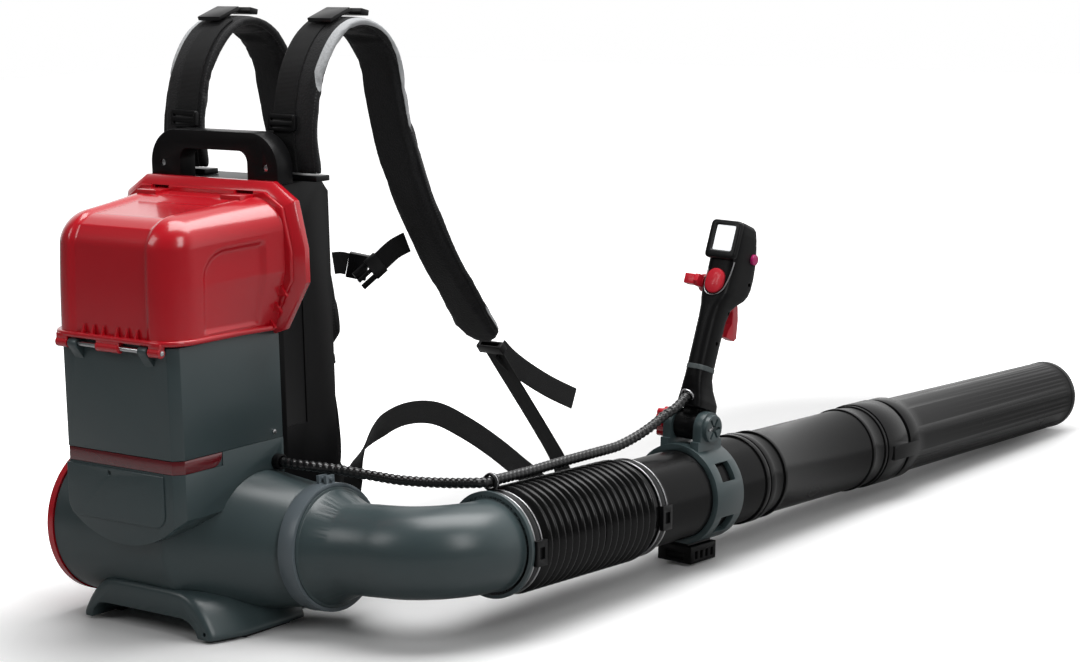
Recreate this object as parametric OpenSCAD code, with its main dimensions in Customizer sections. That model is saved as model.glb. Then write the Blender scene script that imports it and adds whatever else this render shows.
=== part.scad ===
// Backpack leaf blower, battery powered, in millimetres.
// +Z is up, +Y is the way the wearer faces, +X is the side the air tube leaves on.
// The origin is on the floor, in the middle plane of the pack.

/* [Housing] */
// Width of the grey housing
body_w = 166; // [150:1:180]
// Depth of the housing, from its rear face to the frame
body_d = 148; // [140:1:156]
// Height of the seam between the lower and the upper housing
seam_z = 188; // [180:1:192]
// Height of the upper housing's rim
body_top = 300; // [280:1:310]
// Wall thickness of the housings and the cover
wall = 3; // [2:0.5:4]
// Height of the battery cover above the housing's rim, at the frame
cover_h = 134; // [115:1:150]
// How far the battery cover opens, in degrees
cover_swing = 100; // [60:1:110]

/* [Frame] */
// Width of the black back frame
frame_w = 156; // [150:1:164]
// Depth of the back frame above its foot
frame_d = 86; // [70:1:92]
// Height of the back frame
frame_h = 445; // [430:1:470]
// Wall thickness of the back frame
frame_wall = 4; // [3:0.5:5]
// Width of the carry handle
handle_w = 180; // [160:1:200]
// Height of the carry handle above the frame
handle_rise = 51; // [45:1:60]

/* [Fan] */
// Outer radius of the fan duct
fan_r = 79; // [74:1:82]
// Wall thickness of the duct and the elbow
duct_wall = 3.5; // [2.5:0.5:4]
// Clearance between the blade tips and the duct
tip_gap = 1.5; // [0.8:0.1:3]
// Number of impeller blades
blades = 9; // [5:1:12]
// Number of fixed guide vanes
vanes = 7; // [5:1:11]
// Radius of the motor housing
motor_r = 34; // [28:1:38]

/* [Air tubes] */
// Outer radius of the collar where the air leaves the duct
collar_r = 61; // [56:1:64]
// Outer radius of the elbow
elbow_tube_r = 46; // [45:0.5:50]
// Radius of the elbow's bend
elbow_r = 66; // [60:1:72]
// Visible length of the ribbed hose, cuffs included
hose_l = 238; // [200:1:260]
// Outer radius of the hose's ribs
hose_r = 55; // [53:0.5:58]
// Number of ribs
ribs = 17; // [10:1:24]
// Radius of the first tube
tube_r = 48.5; // [48:0.1:50]
// Length of the first tube ahead of the hose
tube_l = 196; // [180:1:230]
// Length of the middle tube
mid_l = 256; // [200:1:300]
// Length of the nozzle tube
nozzle_l = 498; // [400:1:500]
// Outer radius of the nozzle at its mouth
mouth_r = 44; // [40:0.5:45]
// Wall thickness of the tubes
tube_wall = 3; // [2:0.5:4]

/* [Control handle] */
// Distance from the hose to the middle of the handle's clamp
clamp_at = 108; // [96:1:120]
// Width of the clamp along the tube
clamp_l = 50; // [40:1:60]
// Height of the tilt pivot above the tube
pivot_rise = 24.5; // [23:0.5:32]
// Radius of the tilt bolt
bolt_r = 4; // [3:0.5:5]
// Forward lean of the grip at rest
grip_lean = 22; // [15:1:28]
// Width of the grip
grip_w = 27; // [24:0.5:29]
// Thickness of the control head
head_w = 38; // [36:1:44]
// Travel of the push buttons
press = 1.5; // [1:0.1:2]

/* [Harness] */
// Width of a shoulder pad
pad_w = 66; // [54:1:68]
// Thickness of a shoulder pad
pad_t = 16; // [12:1:17]
// Width of the webbing
web_w = 25; // [20:1:28]
// Thickness of the webbing
web_t = 2; // [1.5:0.1:2.5]
// Radius of the control cable
cord_r = 5.5; // [4:0.5:6]

/* [Hidden] */
$fn = 64;

// Clearances
fit = 0.2;     // between fixed pieces
run = 0.3;     // between curved faces that move past each other
pin_fit = 0.05; // round a pin that turns
eps = 1;       // overlap of a cutting tool with the face that it cuts

// Places that several pieces share
frame_y = -31;
rear_y = frame_y - body_d;
body_x = body_w / 2;
frame_x = frame_w / 2;
frame_front = frame_y + frame_d;
foot_y = 95;
fan_y = -86;
fan_z = fan_r + 14; // the duct hangs clear of the floor by this much
duct_left = -120;
drum_right = 40;
outlet = [150, -38, 83];
outlet_rise = 4;
tube_drop = 2.2;
elbow_run = 152 - elbow_r;
cover_top = body_top + cover_h;
bezel_t = 15;
bezel_y = frame_y - bezel_t;
pin_y = rear_y - 6;
pin_z = body_top - 4;
hinge_r = 2.5;
cuff_r = 50;
spigot_r = 47;
cuff_l = 24;
bead_l = 5;
tube_s = hose_l + 0.4;
bead_s = tube_s + tube_l - 6;
mid_s = bead_s + 6;
lock_s = mid_s + mid_l;
mouth_s = lock_s + nozzle_l;
clamp_s = hose_l + clamp_at;
grip_d = -8.2;
clamp_lean = 2;
ear_in = 14.5;
ear_out = 25;
knob_x = -ear_out;
tie_x = -9;
tie_z = 60.5;
tie_s = 14;
latch_pull = 2.5;
neck_l = 16; // the duct's round neck behind the outlet
gland_r = 8;
gland_sink = 3.2; // the gland is off the duct's middle, so its rim can reach below the duct's crest
// The duct's cone falls by this much for each millimetre along X
cone_fall = (fan_z + fan_r - outlet[2] - collar_r) / (outlet[0] - neck_l - drum_right);
gland = [body_x, -42, fan_z + fan_r - cone_fall * (body_x - drum_right) + gland_r - gland_sink];
pivot_h = tube_r + pivot_rise;

// --- helpers -------------------------------------------------------------

module slab(x0, x1, y0, y1, z0, z1) {
  translate([x0, y0, z0]) cube([x1 - x0, y1 - y0, z1 - z0]);
}
module x_rod(r, x0, x1) {
  translate([x0, 0, 0]) rotate([0, 90, 0]) cylinder(r = r, h = x1 - x0);
}
module y_rod(r, y0, y1) {
  translate([0, y1, 0]) rotate([90, 0, 0]) cylinder(r = r, h = y1 - y0);
}
module y_cone(r0, r1, y0, y1) {
  translate([0, y0, 0]) rotate([-90, 0, 0]) cylinder(r1 = r0, r2 = r1, h = y1 - y0);
}
module x_ring(ro, ri, x0, x1) {
  difference() {
    x_rod(ro, x0, x1);
    x_rod(ri, x0 - eps, x1 + eps);
  }
}
module y_ring(ro, ri, y0, y1) {
  difference() {
    y_rod(ro, y0, y1);
    y_rod(ri, y0 - eps, y1 + eps);
  }
}
// A (y, z) outline drawn out along X, and an (x, z) outline drawn out along Y
module along_x(x0, x1) {
  translate([x0, 0, 0]) rotate([90, 0, 90]) linear_extrude(x1 - x0) children();
}
module along_y(y0, y1) {
  translate([0, y1, 0]) rotate([90, 0, 0]) linear_extrude(y1 - y0) children();
}
// Rectangle with round corners, lower left corner at (x, y)
module round_rect(x, y, w, h, r) {
  translate([x + r, y]) square([w - 2 * r, h]);
  translate([x, y + r]) square([w, h - 2 * r]);
  for (a = [x + r, x + w - r], b = [y + r, y + h - r]) translate([a, b]) circle(r);
}

// Local frames: the fan's axis, the elbow's plane, and the tube at a distance s past the elbow
module fan_frame() {
  translate([0, fan_y, fan_z]) children();
}
module outlet_frame() {
  translate(outlet) rotate([-tube_drop, -outlet_rise, 0]) children();
}
module tube_frame(s = 0) {
  outlet_frame() translate([elbow_run + elbow_r, elbow_r + s, 0]) rotate([0, outlet_rise, 0])
    children();
}
module pivot_frame() {
  tube_frame(clamp_s) rotate([0, clamp_lean, 0]) translate([0, 0, pivot_h]) children();
}
module grip_frame() {
  pivot_frame() rotate([-grip_lean + tube_drop, 0, 0]) children();
}

// Smooth curve through hand-set points, and a closed skin swept along it
function blend4(a, b, c, d, t) = 0.5 * (2 * b + (c - a) * t + (2 * a - 5 * b + 4 * c - d) * t * t
  + (3 * b - a - 3 * c + d) * t * t * t);
function smooth(p, n) = [for (i = [0:len(p) - 2], j = [0:n - 1])
  blend4(p[max(i - 1, 0)], p[i], p[i + 1], p[min(i + 2, len(p) - 1)], j / n), p[len(p) - 1]];
function unit(v) = v / norm(v);
function heading(q, i) = unit(q[min(i + 1, len(q) - 1)] - q[max(i - 1, 0)]);
function across(v, t) = unit(v - (v * t) * t);
// q: centre line; flat: direction of the section's width, one for all rings or one for each
module sweep(q, flat, sections) {
  m = len(sections[0]);
  n = len(q);
  each_ring = is_list(flat[0]);
  pts = [for (i = [0:n - 1]) let (t = heading(q, i), u = across(each_ring ? flat[i] : flat, t),
    w = cross(t, u)) for (p = sections[i]) q[i] + p[0] * u + p[1] * w];
  sides = [for (i = [0:n - 2], j = [0:m - 1]) let (a = i * m + j, b = i * m + (j + 1) % m)
    each [[a, a + m, b], [b, a + m, b + m]]];
  caps = [for (j = [1:m - 2]) each [[0, j, j + 1], [(n - 1) * m, (n - 1) * m + j + 1, (n - 1) * m + j]]];
  polyhedron(pts, concat(sides, caps));
}
function ring(r, m) = [for (j = [0:m - 1]) r * [cos(360 * j / m), sin(360 * j / m)]];
module cord(route, r, m = 10, n = 4) {
  q = smooth(route, n);
  sweep(q, [0.1, 0.2, 1], [for (i = q) ring(r, m)]);
}
function band_section(w, t) = [[-w / 2, -t / 2], [w / 2, -t / 2], [w / 2, t / 2], [-w / 2, t / 2]];
module webbing(route, n = 4, flat = [1, 0, 0]) {
  q = smooth(route, n);
  sweep(q, flat, [for (i = q) band_section(web_w, web_t)]);
}

// --- back frame and what stands on the floor -----------------------------

// Outline of the cover's bezel, inset by g
module bezel_outline(g) {
  half = [[90 - g * 0.5, cover_top + 15 - g], [119 - g * 0.8, cover_top - 3 - g * 0.7],
    [130 - g, cover_top - 50], [130 - g, cover_top - 84], [98 - g * 0.75, body_top + g * 0.35],
    [74 - g * 0.6, body_top - 9 + g]];
  polygon(concat(half, [for (i = [len(half) - 1:-1:0]) [-half[i][0], half[i][1]]]));
}
// The duct's outer form, grown by g and longer by e at both ends: the frame, the housing and
// the skid make room for it
module duct_form(g, e = 0) {
  drum = fan_r + g;
  neck = collar_r + g;
  flat = cos(180 / 48);
  fan_frame() x_rod(drum, duct_left - e, drum_right);
  hull() {
    fan_frame() translate([drum_right - 0.5, 0, 0]) rotate([0, 90, 0])
      cylinder(r = drum / flat, h = 0.5, $fn = 48);
    outlet_frame() translate([-neck_l, 0, 0]) rotate([0, 90, 0])
      cylinder(r = neck / flat, h = 0.5, $fn = 48);
  }
  outlet_frame() x_rod(neck, -neck_l, e);
}

module back_frame() {
  side = [[frame_y, 4], [foot_y, 4], [foot_y, 85], [frame_front, 150], [frame_front, frame_h - 15],
    [frame_front - 12, frame_h], [frame_y, frame_h]];
  back = frame_y + frame_wall;
  front = frame_front - frame_wall;
  color([0.06, 0.06, 0.065]) difference() {
    union() {
      along_x(-frame_x, frame_x) polygon(side);
      along_y(frame_y, frame_y + 8) bezel_outline(8);
    }
    along_x(frame_wall - frame_x, frame_x - frame_wall) polygon([[back, 12], [foot_y - frame_wall, 12],
      [foot_y - frame_wall, 83], [front, 148], [front, 160], [foot_y, 160],
      [foot_y, frame_h - 26], [back, frame_h - frame_wall]]);
    duct_form(0.6);
    // Shallow recess on each side
    for (s = [0, 1]) mirror([s, 0, 0])
      slab(frame_x - 1.5, frame_x + eps, frame_y + 12, frame_y + 42, 195, frame_h - 55);
    // Way for the battery's lead into the controller
    slab(-20, 20, frame_y - eps, back + eps, 200, 212);
  }
}

module harness_plate() {
  color([0.07, 0.07, 0.075]) difference() {
    slab(frame_wall + fit - frame_x, frame_x - frame_wall - fit, frame_front - 9, frame_front - 4,
      160 + fit, frame_h - 26 - 2);
    for (z = [200:40:360]) slab(-45, 45, frame_front - 9 - eps, frame_front - 4 + eps, z, z + 12);
  }
}

module back_pad() {
  q = [for (i = [0:10]) [0, frame_front + 4.3, 172 + 23 * i]];
  sweep_w = frame_w - 30;
  color([0.09, 0.09, 0.1]) sweep(q, [1, 0, 0], [for (i = [0:10])
    let (k = sqrt(1 - pow((i - 5) / 5.6, 4)), g = i % 3 == 0 ? 0.82 : 1)
    [for (a = [0:11]) let (c = cos(30 * a + 15), s = sin(30 * a + 15))
      [k * sweep_w / 2 * sign(c) * pow(abs(c), 0.4), 8 * g * sign(s) * pow(abs(s), 0.6)]]]);
}

module carry_handle() {
  color([0.06, 0.06, 0.065]) difference() {
    along_y(frame_y, frame_y + 22) difference() {
      union() {
        round_rect(-handle_w / 2, frame_h - 60, handle_w, handle_rise + 60, 36);
        translate([-handle_w / 2, frame_h + fit]) square([handle_w, 12]);
      }
      translate([-handle_w, frame_h - 99]) square([2 * handle_w, 99 + fit]);
      round_rect(-48, frame_h - 40, 96, handle_rise + 21, 12);
      for (s = [-1, 1]) translate([s * 73, frame_h + 16]) circle(3.5);
    }
  }
}

module base_skid() {
  z0 = 3;
  z1 = 48;
  foot = 106;
  color([0.2, 0.24, 0.25]) difference() {
    intersection() {
      along_y(-160, -30) polygon([[-foot, z0], [-foot, z0 + 5], [-62, z1], [62, z1], [foot, z0 + 5],
        [foot, z0]]);
      along_x(-120, 120) polygon([[-148, z0], [-152, z0 + 5], [-155, z1], [-40, z1], [-36, z0]]);
      linear_extrude(z1 + eps) polygon([[-foot, -30], [-foot, -118], [-68, -156], [68, -156],
        [foot, -118], [foot, -30]]);
    }
    duct_form(fit + 0.1);
    // The arch between the two feet
    along_y(-160, -20) polygon([[-80, 2], [-72, 10], [54, 10], [62, 2]]);
  }
}

module rubber_feet() {
  color([0.03, 0.03, 0.03]) {
    for (x = [-104, 76]) slab(x, x + 26, -116, -52, 0, 3);
    for (x = [-70, 40]) slab(x, x + 30, 50, 88, 0, 4);
    slab(-20, 20, -12, 12, 0, 4);
  }
}

// --- housings, cover and battery ----------------------------------------

// Plan of the housing inset by g: chamfered rear corners
module plan(g) {
  x = body_x - g;
  y0 = rear_y + g;
  c = 9;
  polygon([[-x, frame_y - fit], [-x, y0 + c], [c - x, y0], [x - c, y0], [x, y0 + c], [x, frame_y - fit]]);
}

module upper_housing() {
  floor_z = seam_z + 6;
  color([0.2, 0.24, 0.25]) difference() {
    union() {
      translate([0, 0, seam_z]) linear_extrude(body_top - seam_z) plan(0);
      // Knuckles that carry the hinge pin
      for (x = [-56, 44]) hull() {
        translate([x, pin_y, pin_z]) x_rod(5, 0, 12);
        slab(x, x + 12, rear_y, rear_y + 2, pin_z - 16, pin_z - 6);
      }
    }
    difference() {
      translate([0, 0, seam_z - eps]) linear_extrude(body_top - seam_z + 2 * eps) plan(wall);
      slab(-body_x, body_x, rear_y, frame_y, floor_z, floor_z + 4);
    }
    slab(-24, 24, -124, -76, floor_z - eps, floor_z + 4 + eps);
    translate([0, pin_y, pin_z]) x_rod(hinge_r + 0.02, -80, 80);
  }
}

// Dark red lens that wraps the rear just under the seam
module light_strip() {
  z = seam_z - 14;
  color([0.35, 0.03, 0.04]) difference() {
    translate([0, 0, z]) linear_extrude(13.5) plan(0.4);
    translate([0, 0, z - eps]) linear_extrude(20) plan(wall - 0.5);
    slab(-body_x, body_x, -118, 0, z - eps, z + 20);
  }
}

module lower_form(g) {
  intersection() {
    along_y(rear_y - 5, frame_y - fit) intersection() {
      translate([g - body_x, 90 + g]) square([body_w - 2 * g, seam_z - 90 + (g > 0 ? 9 : -fit) ]);
      translate([0, 215]) circle(120 - g, $fn = 96);
    }
    translate([0, 0, 80]) linear_extrude(140) plan(g);
  }
}
module lower_housing() {
  z = seam_z - 14;
  color([0.2, 0.24, 0.25]) difference() {
    lower_form(0);
    difference() {
      lower_form(wall);
      // Ledge behind the light strip
      difference() {
        translate([0, 0, z - 6]) linear_extrude(6) plan(wall - eps);
        translate([0, 0, z - 7]) linear_extrude(9) plan(wall + 2);
      }
    }
    difference() {
      translate([0, 0, z - fit]) linear_extrude(14) plan(-eps);
      translate([0, 0, z - 1]) linear_extrude(16) plan(wall - 0.5 + fit);
      slab(-100, 100, -118 + fit, 0, z - 1, z + 20);
    }
    slab(-100, 100, rear_y - 9, -118 + fit, z - fit, seam_z + eps);
    duct_form(fit + 0.1);
    translate(gland) x_rod(6 + fit, -8, 12);
  }
}

module cover_form(g) {
  x = body_x + 1 - g;
  x2 = 113 - g;
  top = cover_top - g;
  front = g > 0 ? 16 : 15 - fit;
  hull() for (s = [-1, 1]) {
    translate([s * (x - 12), rear_y + 12 + g, body_top - 0.3]) cylinder(r = 12, h = 62, $fn = 32);
    translate([s * (x - 18), rear_y + 21 + g, top - 34]) sphere(16, $fn = 32);
    translate([s * (x2 - 24), bezel_y - 15, top - 26]) rotate([-90, 0, 0])
      cylinder(r = 24, h = front, $fn = 32);
    translate([s * (x2 - 4), bezel_y - 15, body_top + 60]) rotate([-90, 0, 0])
      cylinder(r = 4, h = front, $fn = 32);
    translate([s * (x2 - 22) - 1, bezel_y - 15, body_top - 0.3]) cube([2, front, 1]);
  }
}
module battery_cover() {
  color([0.72, 0.03, 0.06]) difference() {
    union() {
      intersection() {
        cover_form(0);
        slab(-150, 150, -300, 0, body_top + fit, 500);
      }
      // Rim round the lower edge
      translate([0, 0, body_top + fit]) linear_extrude(7) difference() {
        plan(-3);
        translate([-150, bezel_y - 4]) square([300, 60]);
      }
      // Knuckles that turn on the hinge pin
      for (x = [-74, -16, 58]) {
        w = x == -16 ? 32 : 16;
        translate([x, pin_y, pin_z]) x_rod(5, 0, w);
        slab(x, x + w, pin_y - 3, rear_y + 1, body_top + fit, body_top + 6);
      }
    }
    intersection() {
      cover_form(wall);
      slab(-150, 150, -300, 0, body_top - 5, 500);
    }
    translate([0, 0, body_top - 5]) linear_extrude(14) difference() {
      plan(wall);
      translate([-150, bezel_y - 8]) square([300, 60]);
    }
    translate([0, pin_y, pin_z]) x_rod(hinge_r + pin_fit, -80, 80);
    for (s = [-1, 1]) slab(s * 60 - 14 - run, s * 60 + 14 + run, bezel_y - 23 - latch_pull - 0.5, 0,
      cover_top - 7.5 - run, cover_top + 9);
  }
}

module cover_seal() {
  color([0.04, 0.04, 0.04]) difference() {
    along_y(frame_y - 4, frame_y - fit) bezel_outline(16);
    along_y(frame_y - 5, frame_y) bezel_outline(21);
    slab(-body_x - fit, body_x + fit, frame_y - 6, frame_y, 0, body_top + fit);
  }
}

module cover_bezel() {
  color([0.72, 0.03, 0.06]) difference() {
    along_y(bezel_y, frame_y - fit) bezel_outline(0);
    along_y(bezel_y - eps, frame_y) bezel_outline(15);
    slab(-body_x - fit, body_x + fit, bezel_y - eps, frame_y, 0, body_top + fit);
    // Pockets for the latches' tongues
    for (s = [-1, 1]) slab(s * 60 - 11, s * 60 + 11, bezel_y - eps, bezel_y + 4,
      cover_top - eps, cover_top + 4.5);
  }
}

module latch() {
  slab(-14, 14, bezel_y - 23, bezel_y - 1, cover_top - 7.5, cover_top + 3);
  slab(-10, 10, bezel_y - 2, bezel_y + 1, cover_top - 2, cover_top + 2.5);
}
module latch_left() {
  color([0.6, 0.03, 0.05]) translate([-60, 0, 0]) latch();
}
module latch_right() {
  color([0.6, 0.03, 0.05]) translate([60, 0, 0]) latch();
}

module battery_pack() {
  z = seam_z + 10 + fit;
  x = body_x - wall - 14;
  h = cover_top - z - 47;
  color([0.1, 0.1, 0.1]) difference() {
    union() {
      translate([0, 0, z]) linear_extrude(h) round_rect(-x, rear_y + 22, 2 * x, body_d - 44, 12);
      translate([0, 0, z + h]) linear_extrude(8)
        round_rect(16 - x, rear_y + 34, 2 * x - 32, body_d - 68, 10);
    }
    translate([0, 0, z + h + 2]) linear_extrude(9)
      round_rect(32 - x, rear_y + 50, 2 * x - 64, body_d - 100, 8);
    slab(-20, 20, -120, -80, z - eps, z + 12);
  }
}

module battery_terminals() {
  z = seam_z + 6;
  color([0.75, 0.6, 0.3]) {
    slab(-23.8, 23.8, -123.8, -76.2, z, z + 4);
    for (x = [-14:7:14]) slab(x - 1, x + 1, -115, -85, z + 4, z + 14);
  }
}

module hinge_pin() {
  color([0.6, 0.6, 0.62]) translate([0, pin_y, pin_z]) x_rod(hinge_r, -75, 75);
}

module case_screws() {
  color([0.1, 0.1, 0.1]) {
    // Seam screws on the sides of the housing, and one through each foot of the handle
    for (s = [-1, 1]) translate([s * body_x, -44, seam_z + 7]) x_rod(2.5, s > 0 ? 0 : -1.2, s > 0 ? 1.2 : 0);
    for (s = [-1, 1]) translate([s * 73, 0, frame_h + 16]) y_rod(3.3, frame_y + 1, frame_y + 20);
  }
}

// --- fan, motor and controller ------------------------------------------

module fan_duct() {
  color([0.2, 0.24, 0.25]) difference() {
    duct_form(0);
    duct_form(-duct_wall, eps);
    fan_frame() translate([20, 0, 0]) cylinder(r = 5, h = 100);
  }
}

module intake_guard() {
  color([0.72, 0.03, 0.06]) fan_frame() {
    x_ring(fan_r + 1.5, fan_r - 9, duct_left - 8, duct_left - fit);
    for (r = [20:14:fan_r - 17]) x_ring(r + 2, r - 2, duct_left - 6, duct_left - 3);
    x_rod(12, duct_left - 7, duct_left - 2);
    for (a = [0:45:315]) rotate([a, 0, 0]) slab(duct_left - 6, duct_left - 3, -1.5, 1.5, 8, fan_r - 8);
  }
}

module impeller() {
  hub_x0 = -100;
  hub_x1 = -56;
  color([0.12, 0.12, 0.13]) fan_frame() difference() {
    union() {
      x_rod(motor_r, hub_x0, hub_x1);
      intersection() {
        x_ring(fan_r - duct_wall - tip_gap, motor_r - 2, hub_x0, hub_x1);
        for (i = [0:blades - 1]) rotate([i * 360 / blades, 0, 0]) translate([(hub_x0 + hub_x1) / 2, 0, 0])
          rotate([0, 0, 42]) slab(-32, 32, -1.2, 1.2, motor_r - 2, fan_r);
      }
    }
    x_rod(4, hub_x0 - eps, hub_x1 + eps);
    x_rod(motor_r - 3, hub_x0 + 12, hub_x1 + eps);
  }
}

module motor_shaft() {
  color([0.65, 0.65, 0.68]) fan_frame() {
    x_rod(4, -108, 34);
    // Lock nut
    x_ring(9, 4, -106, -100);
  }
}

module rotor_magnets() {
  color([0.3, 0.3, 0.33]) fan_frame() x_ring(18, 4, -34, 14);
}

module stator_core() {
  color([0.7, 0.42, 0.2]) fan_frame() difference() {
    x_rod(motor_r - 3, -36, 16);
    x_rod(19, -37, 17);
    for (a = [0:30:330]) rotate([a, 0, 0]) slab(-37, 17, -2, 2, 22, motor_r - 6);
  }
}

module motor_bearings() {
  color([0.6, 0.6, 0.6]) fan_frame() {
    for (x = [-48, 22]) x_ring(11, 4 + pin_fit, x, x + 8);
  }
}

module motor_housing() {
  color([0.55, 0.56, 0.58]) fan_frame() difference() {
    x_rod(motor_r, -51, 38);
    x_rod(motor_r - 3, -40, 20);
    x_rod(11, -48, 30);
    x_rod(6, -60, 36);
  }
}

module guide_vanes() {
  color([0.12, 0.12, 0.13]) fan_frame() {
    x_ring(motor_r + 2, motor_r, -44, 34);
    intersection() {
      x_ring(fan_r - duct_wall - 0.05, motor_r + 1, -44, 34);
      for (i = [0:vanes - 1]) rotate([(i + 0.5) * 360 / vanes, 0, 0]) translate([-14, 0, 0])
        rotate([0, 0, -18]) slab(-30, 30, -1.2, 1.2, motor_r + 1, fan_r);
    }
  }
}

module tail_cone() {
  color([0.12, 0.12, 0.13]) fan_frame() translate([38, 0, 0]) rotate([0, 90, 0])
    difference() {
      cylinder(r1 = motor_r, r2 = 7, h = 62);
      translate([0, 0, -eps]) cylinder(r1 = motor_r - 4, r2 = 3, h = 56);
    }
}

module controller() {
  z = seam_z - 14 + fit;
  color([0.1, 0.35, 0.18]) {
    slab(wall + fit - body_x, body_x - wall - fit, -150, -46, z, z + 2);
    for (x = [-44:11:44]) slab(x, x + 4, -120, -70, z + 2, z + 11);
    // Lead down through the duct to the motor
    translate([20, fan_y, fan_z + motor_r + 2 + fit]) cylinder(r = 4, h = z - fan_z - motor_r - 2 - fit);
  }
}

// --- elbow, hose and tubes ----------------------------------------------

module elbow() {
  inner = elbow_tube_r - duct_wall;
  flange = 9;
  flare = 37;
  color([0.2, 0.24, 0.25]) outlet_frame() {
    // Flange, flare and straight run out of the duct
    rotate([0, 90, 0]) rotate_extrude() polygon([[inner, fit], [collar_r, fit], [collar_r, flange],
      [collar_r - 3, flange], [elbow_tube_r, flare], [elbow_tube_r, elbow_run], [inner, elbow_run]]);
    translate([elbow_run, elbow_r, 0]) rotate([0, 0, -90]) rotate_extrude(angle = 90)
      translate([elbow_r, 0]) difference() {
        circle(elbow_tube_r);
        circle(inner);
      }
    // Bead that the hose butts on, and the spigot inside the hose
    translate([elbow_run + elbow_r, elbow_r, 0]) rotate([-90, 0, 0]) rotate_extrude()
      polygon([[inner, 0], [hose_r - 1, 0], [hose_r - 1, bead_l], [spigot_r, bead_l],
        [spigot_r, cuff_l], [inner, cuff_l]]);
  }
}

module outlet_clamp() {
  color([0.33, 0.38, 0.4]) outlet_frame() {
    x_ring(collar_r + 4, collar_r + fit, -12, 8);
    for (x = [-9, 1]) slab(x, x + 4, -6, 6, collar_r + 3, collar_r + 12);
    translate([0, 0, collar_r + 8]) x_rod(2.2, -12, 8);
  }
}

module band(s0, s1) {
  y_ring(cuff_r + 2, cuff_r + run, s0, s1);
  // Snap buckle on the outer side
  difference() {
    slab(cuff_r + 1, cuff_r + 6, s0 - 1, s1 + 3, -16, 10);
    slab(cuff_r + 3, cuff_r + 7, s0 + 3, s1 - 1, -9, 3);
  }
}
module hose_clamp_rear() {
  color([0.12, 0.12, 0.12]) tube_frame() {
    band(bead_l + 2, bead_l + 14);
    // Cable tie round the cable, over the clamp
    translate([tie_x, tie_s, tie_z]) difference() {
      y_rod(cord_r + 3.2, -3, 3);
      y_rod(cord_r + 1, -4, 4);
    }
  }
}
module hose_clamp_front() {
  color([0.12, 0.12, 0.12]) tube_frame() band(hose_l - 18, hose_l - 6);
}

// Ribbed hose: two plain cuffs and a row of round pleats
module flex_hose() {
  s0 = cuff_l + 2;
  pitch = (hose_l - 2 * s0) / ribs;
  valley = hose_r - 5.5;
  pleat = [for (i = [0:ribs - 1]) each [[valley, s0 + pitch * i], [hose_r - 1, s0 + pitch * (i + 0.3)],
    [hose_r, s0 + pitch * (i + 0.42)], [hose_r, s0 + pitch * (i + 0.58)],
    [hose_r - 1, s0 + pitch * (i + 0.7)]]];
  inside = [for (i = [ribs - 1:-1:0]) each [[valley - 2, s0 + pitch * (i + 1)],
    [hose_r - 2.5, s0 + pitch * (i + 0.5)]]];
  start = bead_l + run;
  outline = concat([[cuff_r, start], [cuff_r, s0 - 1]], pleat, [[valley, hose_l - s0],
    [cuff_r, hose_l - s0 + 1], [cuff_r, hose_l], [spigot_r + run, hose_l],
    [spigot_r + run, hose_l - s0]], inside, [[valley - 2, s0], [spigot_r + run, s0],
    [spigot_r + run, start]]);
  color([0.04, 0.04, 0.045]) tube_frame() rotate([-90, 0, 0]) rotate_extrude() polygon(outline);
}

module clamp_tube() {
  color([0.05, 0.05, 0.055]) tube_frame() difference() {
    union() {
      y_rod(spigot_r, hose_l - cuff_l, tube_s);
      y_rod(tube_r, tube_s, bead_s);
      y_rod(tube_r + 2.5, bead_s - 3, bead_s + 4);
      y_rod(tube_r - tube_wall, bead_s, mid_s + 24);
    }
    y_rod(spigot_r - tube_wall, hose_l - cuff_l - eps, bead_s);
    y_rod(tube_r - 2 * tube_wall, bead_s - eps, mid_s + 24 + eps);
  }
}

module mid_tube() {
  r = tube_r - 0.8;
  color([0.05, 0.05, 0.055]) tube_frame() {
    difference() {
      union() {
        y_rod(tube_r + 2.5, mid_s, mid_s + 9);
        y_rod(r, mid_s, lock_s);
        y_rod(tube_r + 1.5, mid_s + 30, mid_s + 35);
        y_rod(tube_r + 1, lock_s - 34, lock_s - 28);
        y_rod(tube_r + 1, lock_s - 6, lock_s - fit);
        y_rod(r - tube_wall, lock_s - 1, lock_s + 26);
      }
      y_rod(tube_r - tube_wall + fit, mid_s - eps, mid_s + 24.4);
      y_rod(r - 2 * tube_wall, mid_s, lock_s + 26 + eps);
    }
    // Two bayonet pins
    for (a = [0, 180]) rotate([0, a, 0]) translate([r - tube_wall - 1, lock_s + 13, 0]) x_rod(2.5, 0, 3);
  }
}

module nozzle_tube() {
  r = tube_r - 0.8 - tube_wall;
  big = tube_r + 2;
  color([0.05, 0.05, 0.055]) tube_frame() {
    difference() {
      union() {
        y_rod(big, lock_s, lock_s + 44);
        y_cone(big, tube_r - 2, lock_s + 44, lock_s + 52);
        y_rod(big - 0.8, lock_s + 52, lock_s + 74);
        y_cone(tube_r - 2.5, mouth_r, lock_s + 50, mouth_s - 8);
        y_rod(mouth_r + 0.4, mouth_s - 9, mouth_s);
        // Lock tab
        slab(big - 3.2, big + 1.6, lock_s + 10, lock_s + 70, -13, 4);
      }
      y_rod(r + run, lock_s - eps, lock_s + 27);
      y_rod(r + 2.6, lock_s + 9.5, lock_s + 16.5);
      y_cone(r, mouth_r - tube_wall, lock_s + 27 - 0.01, mouth_s + 0.01);
    }
  }
}

// --- clamp and control handle -------------------------------------------

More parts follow.
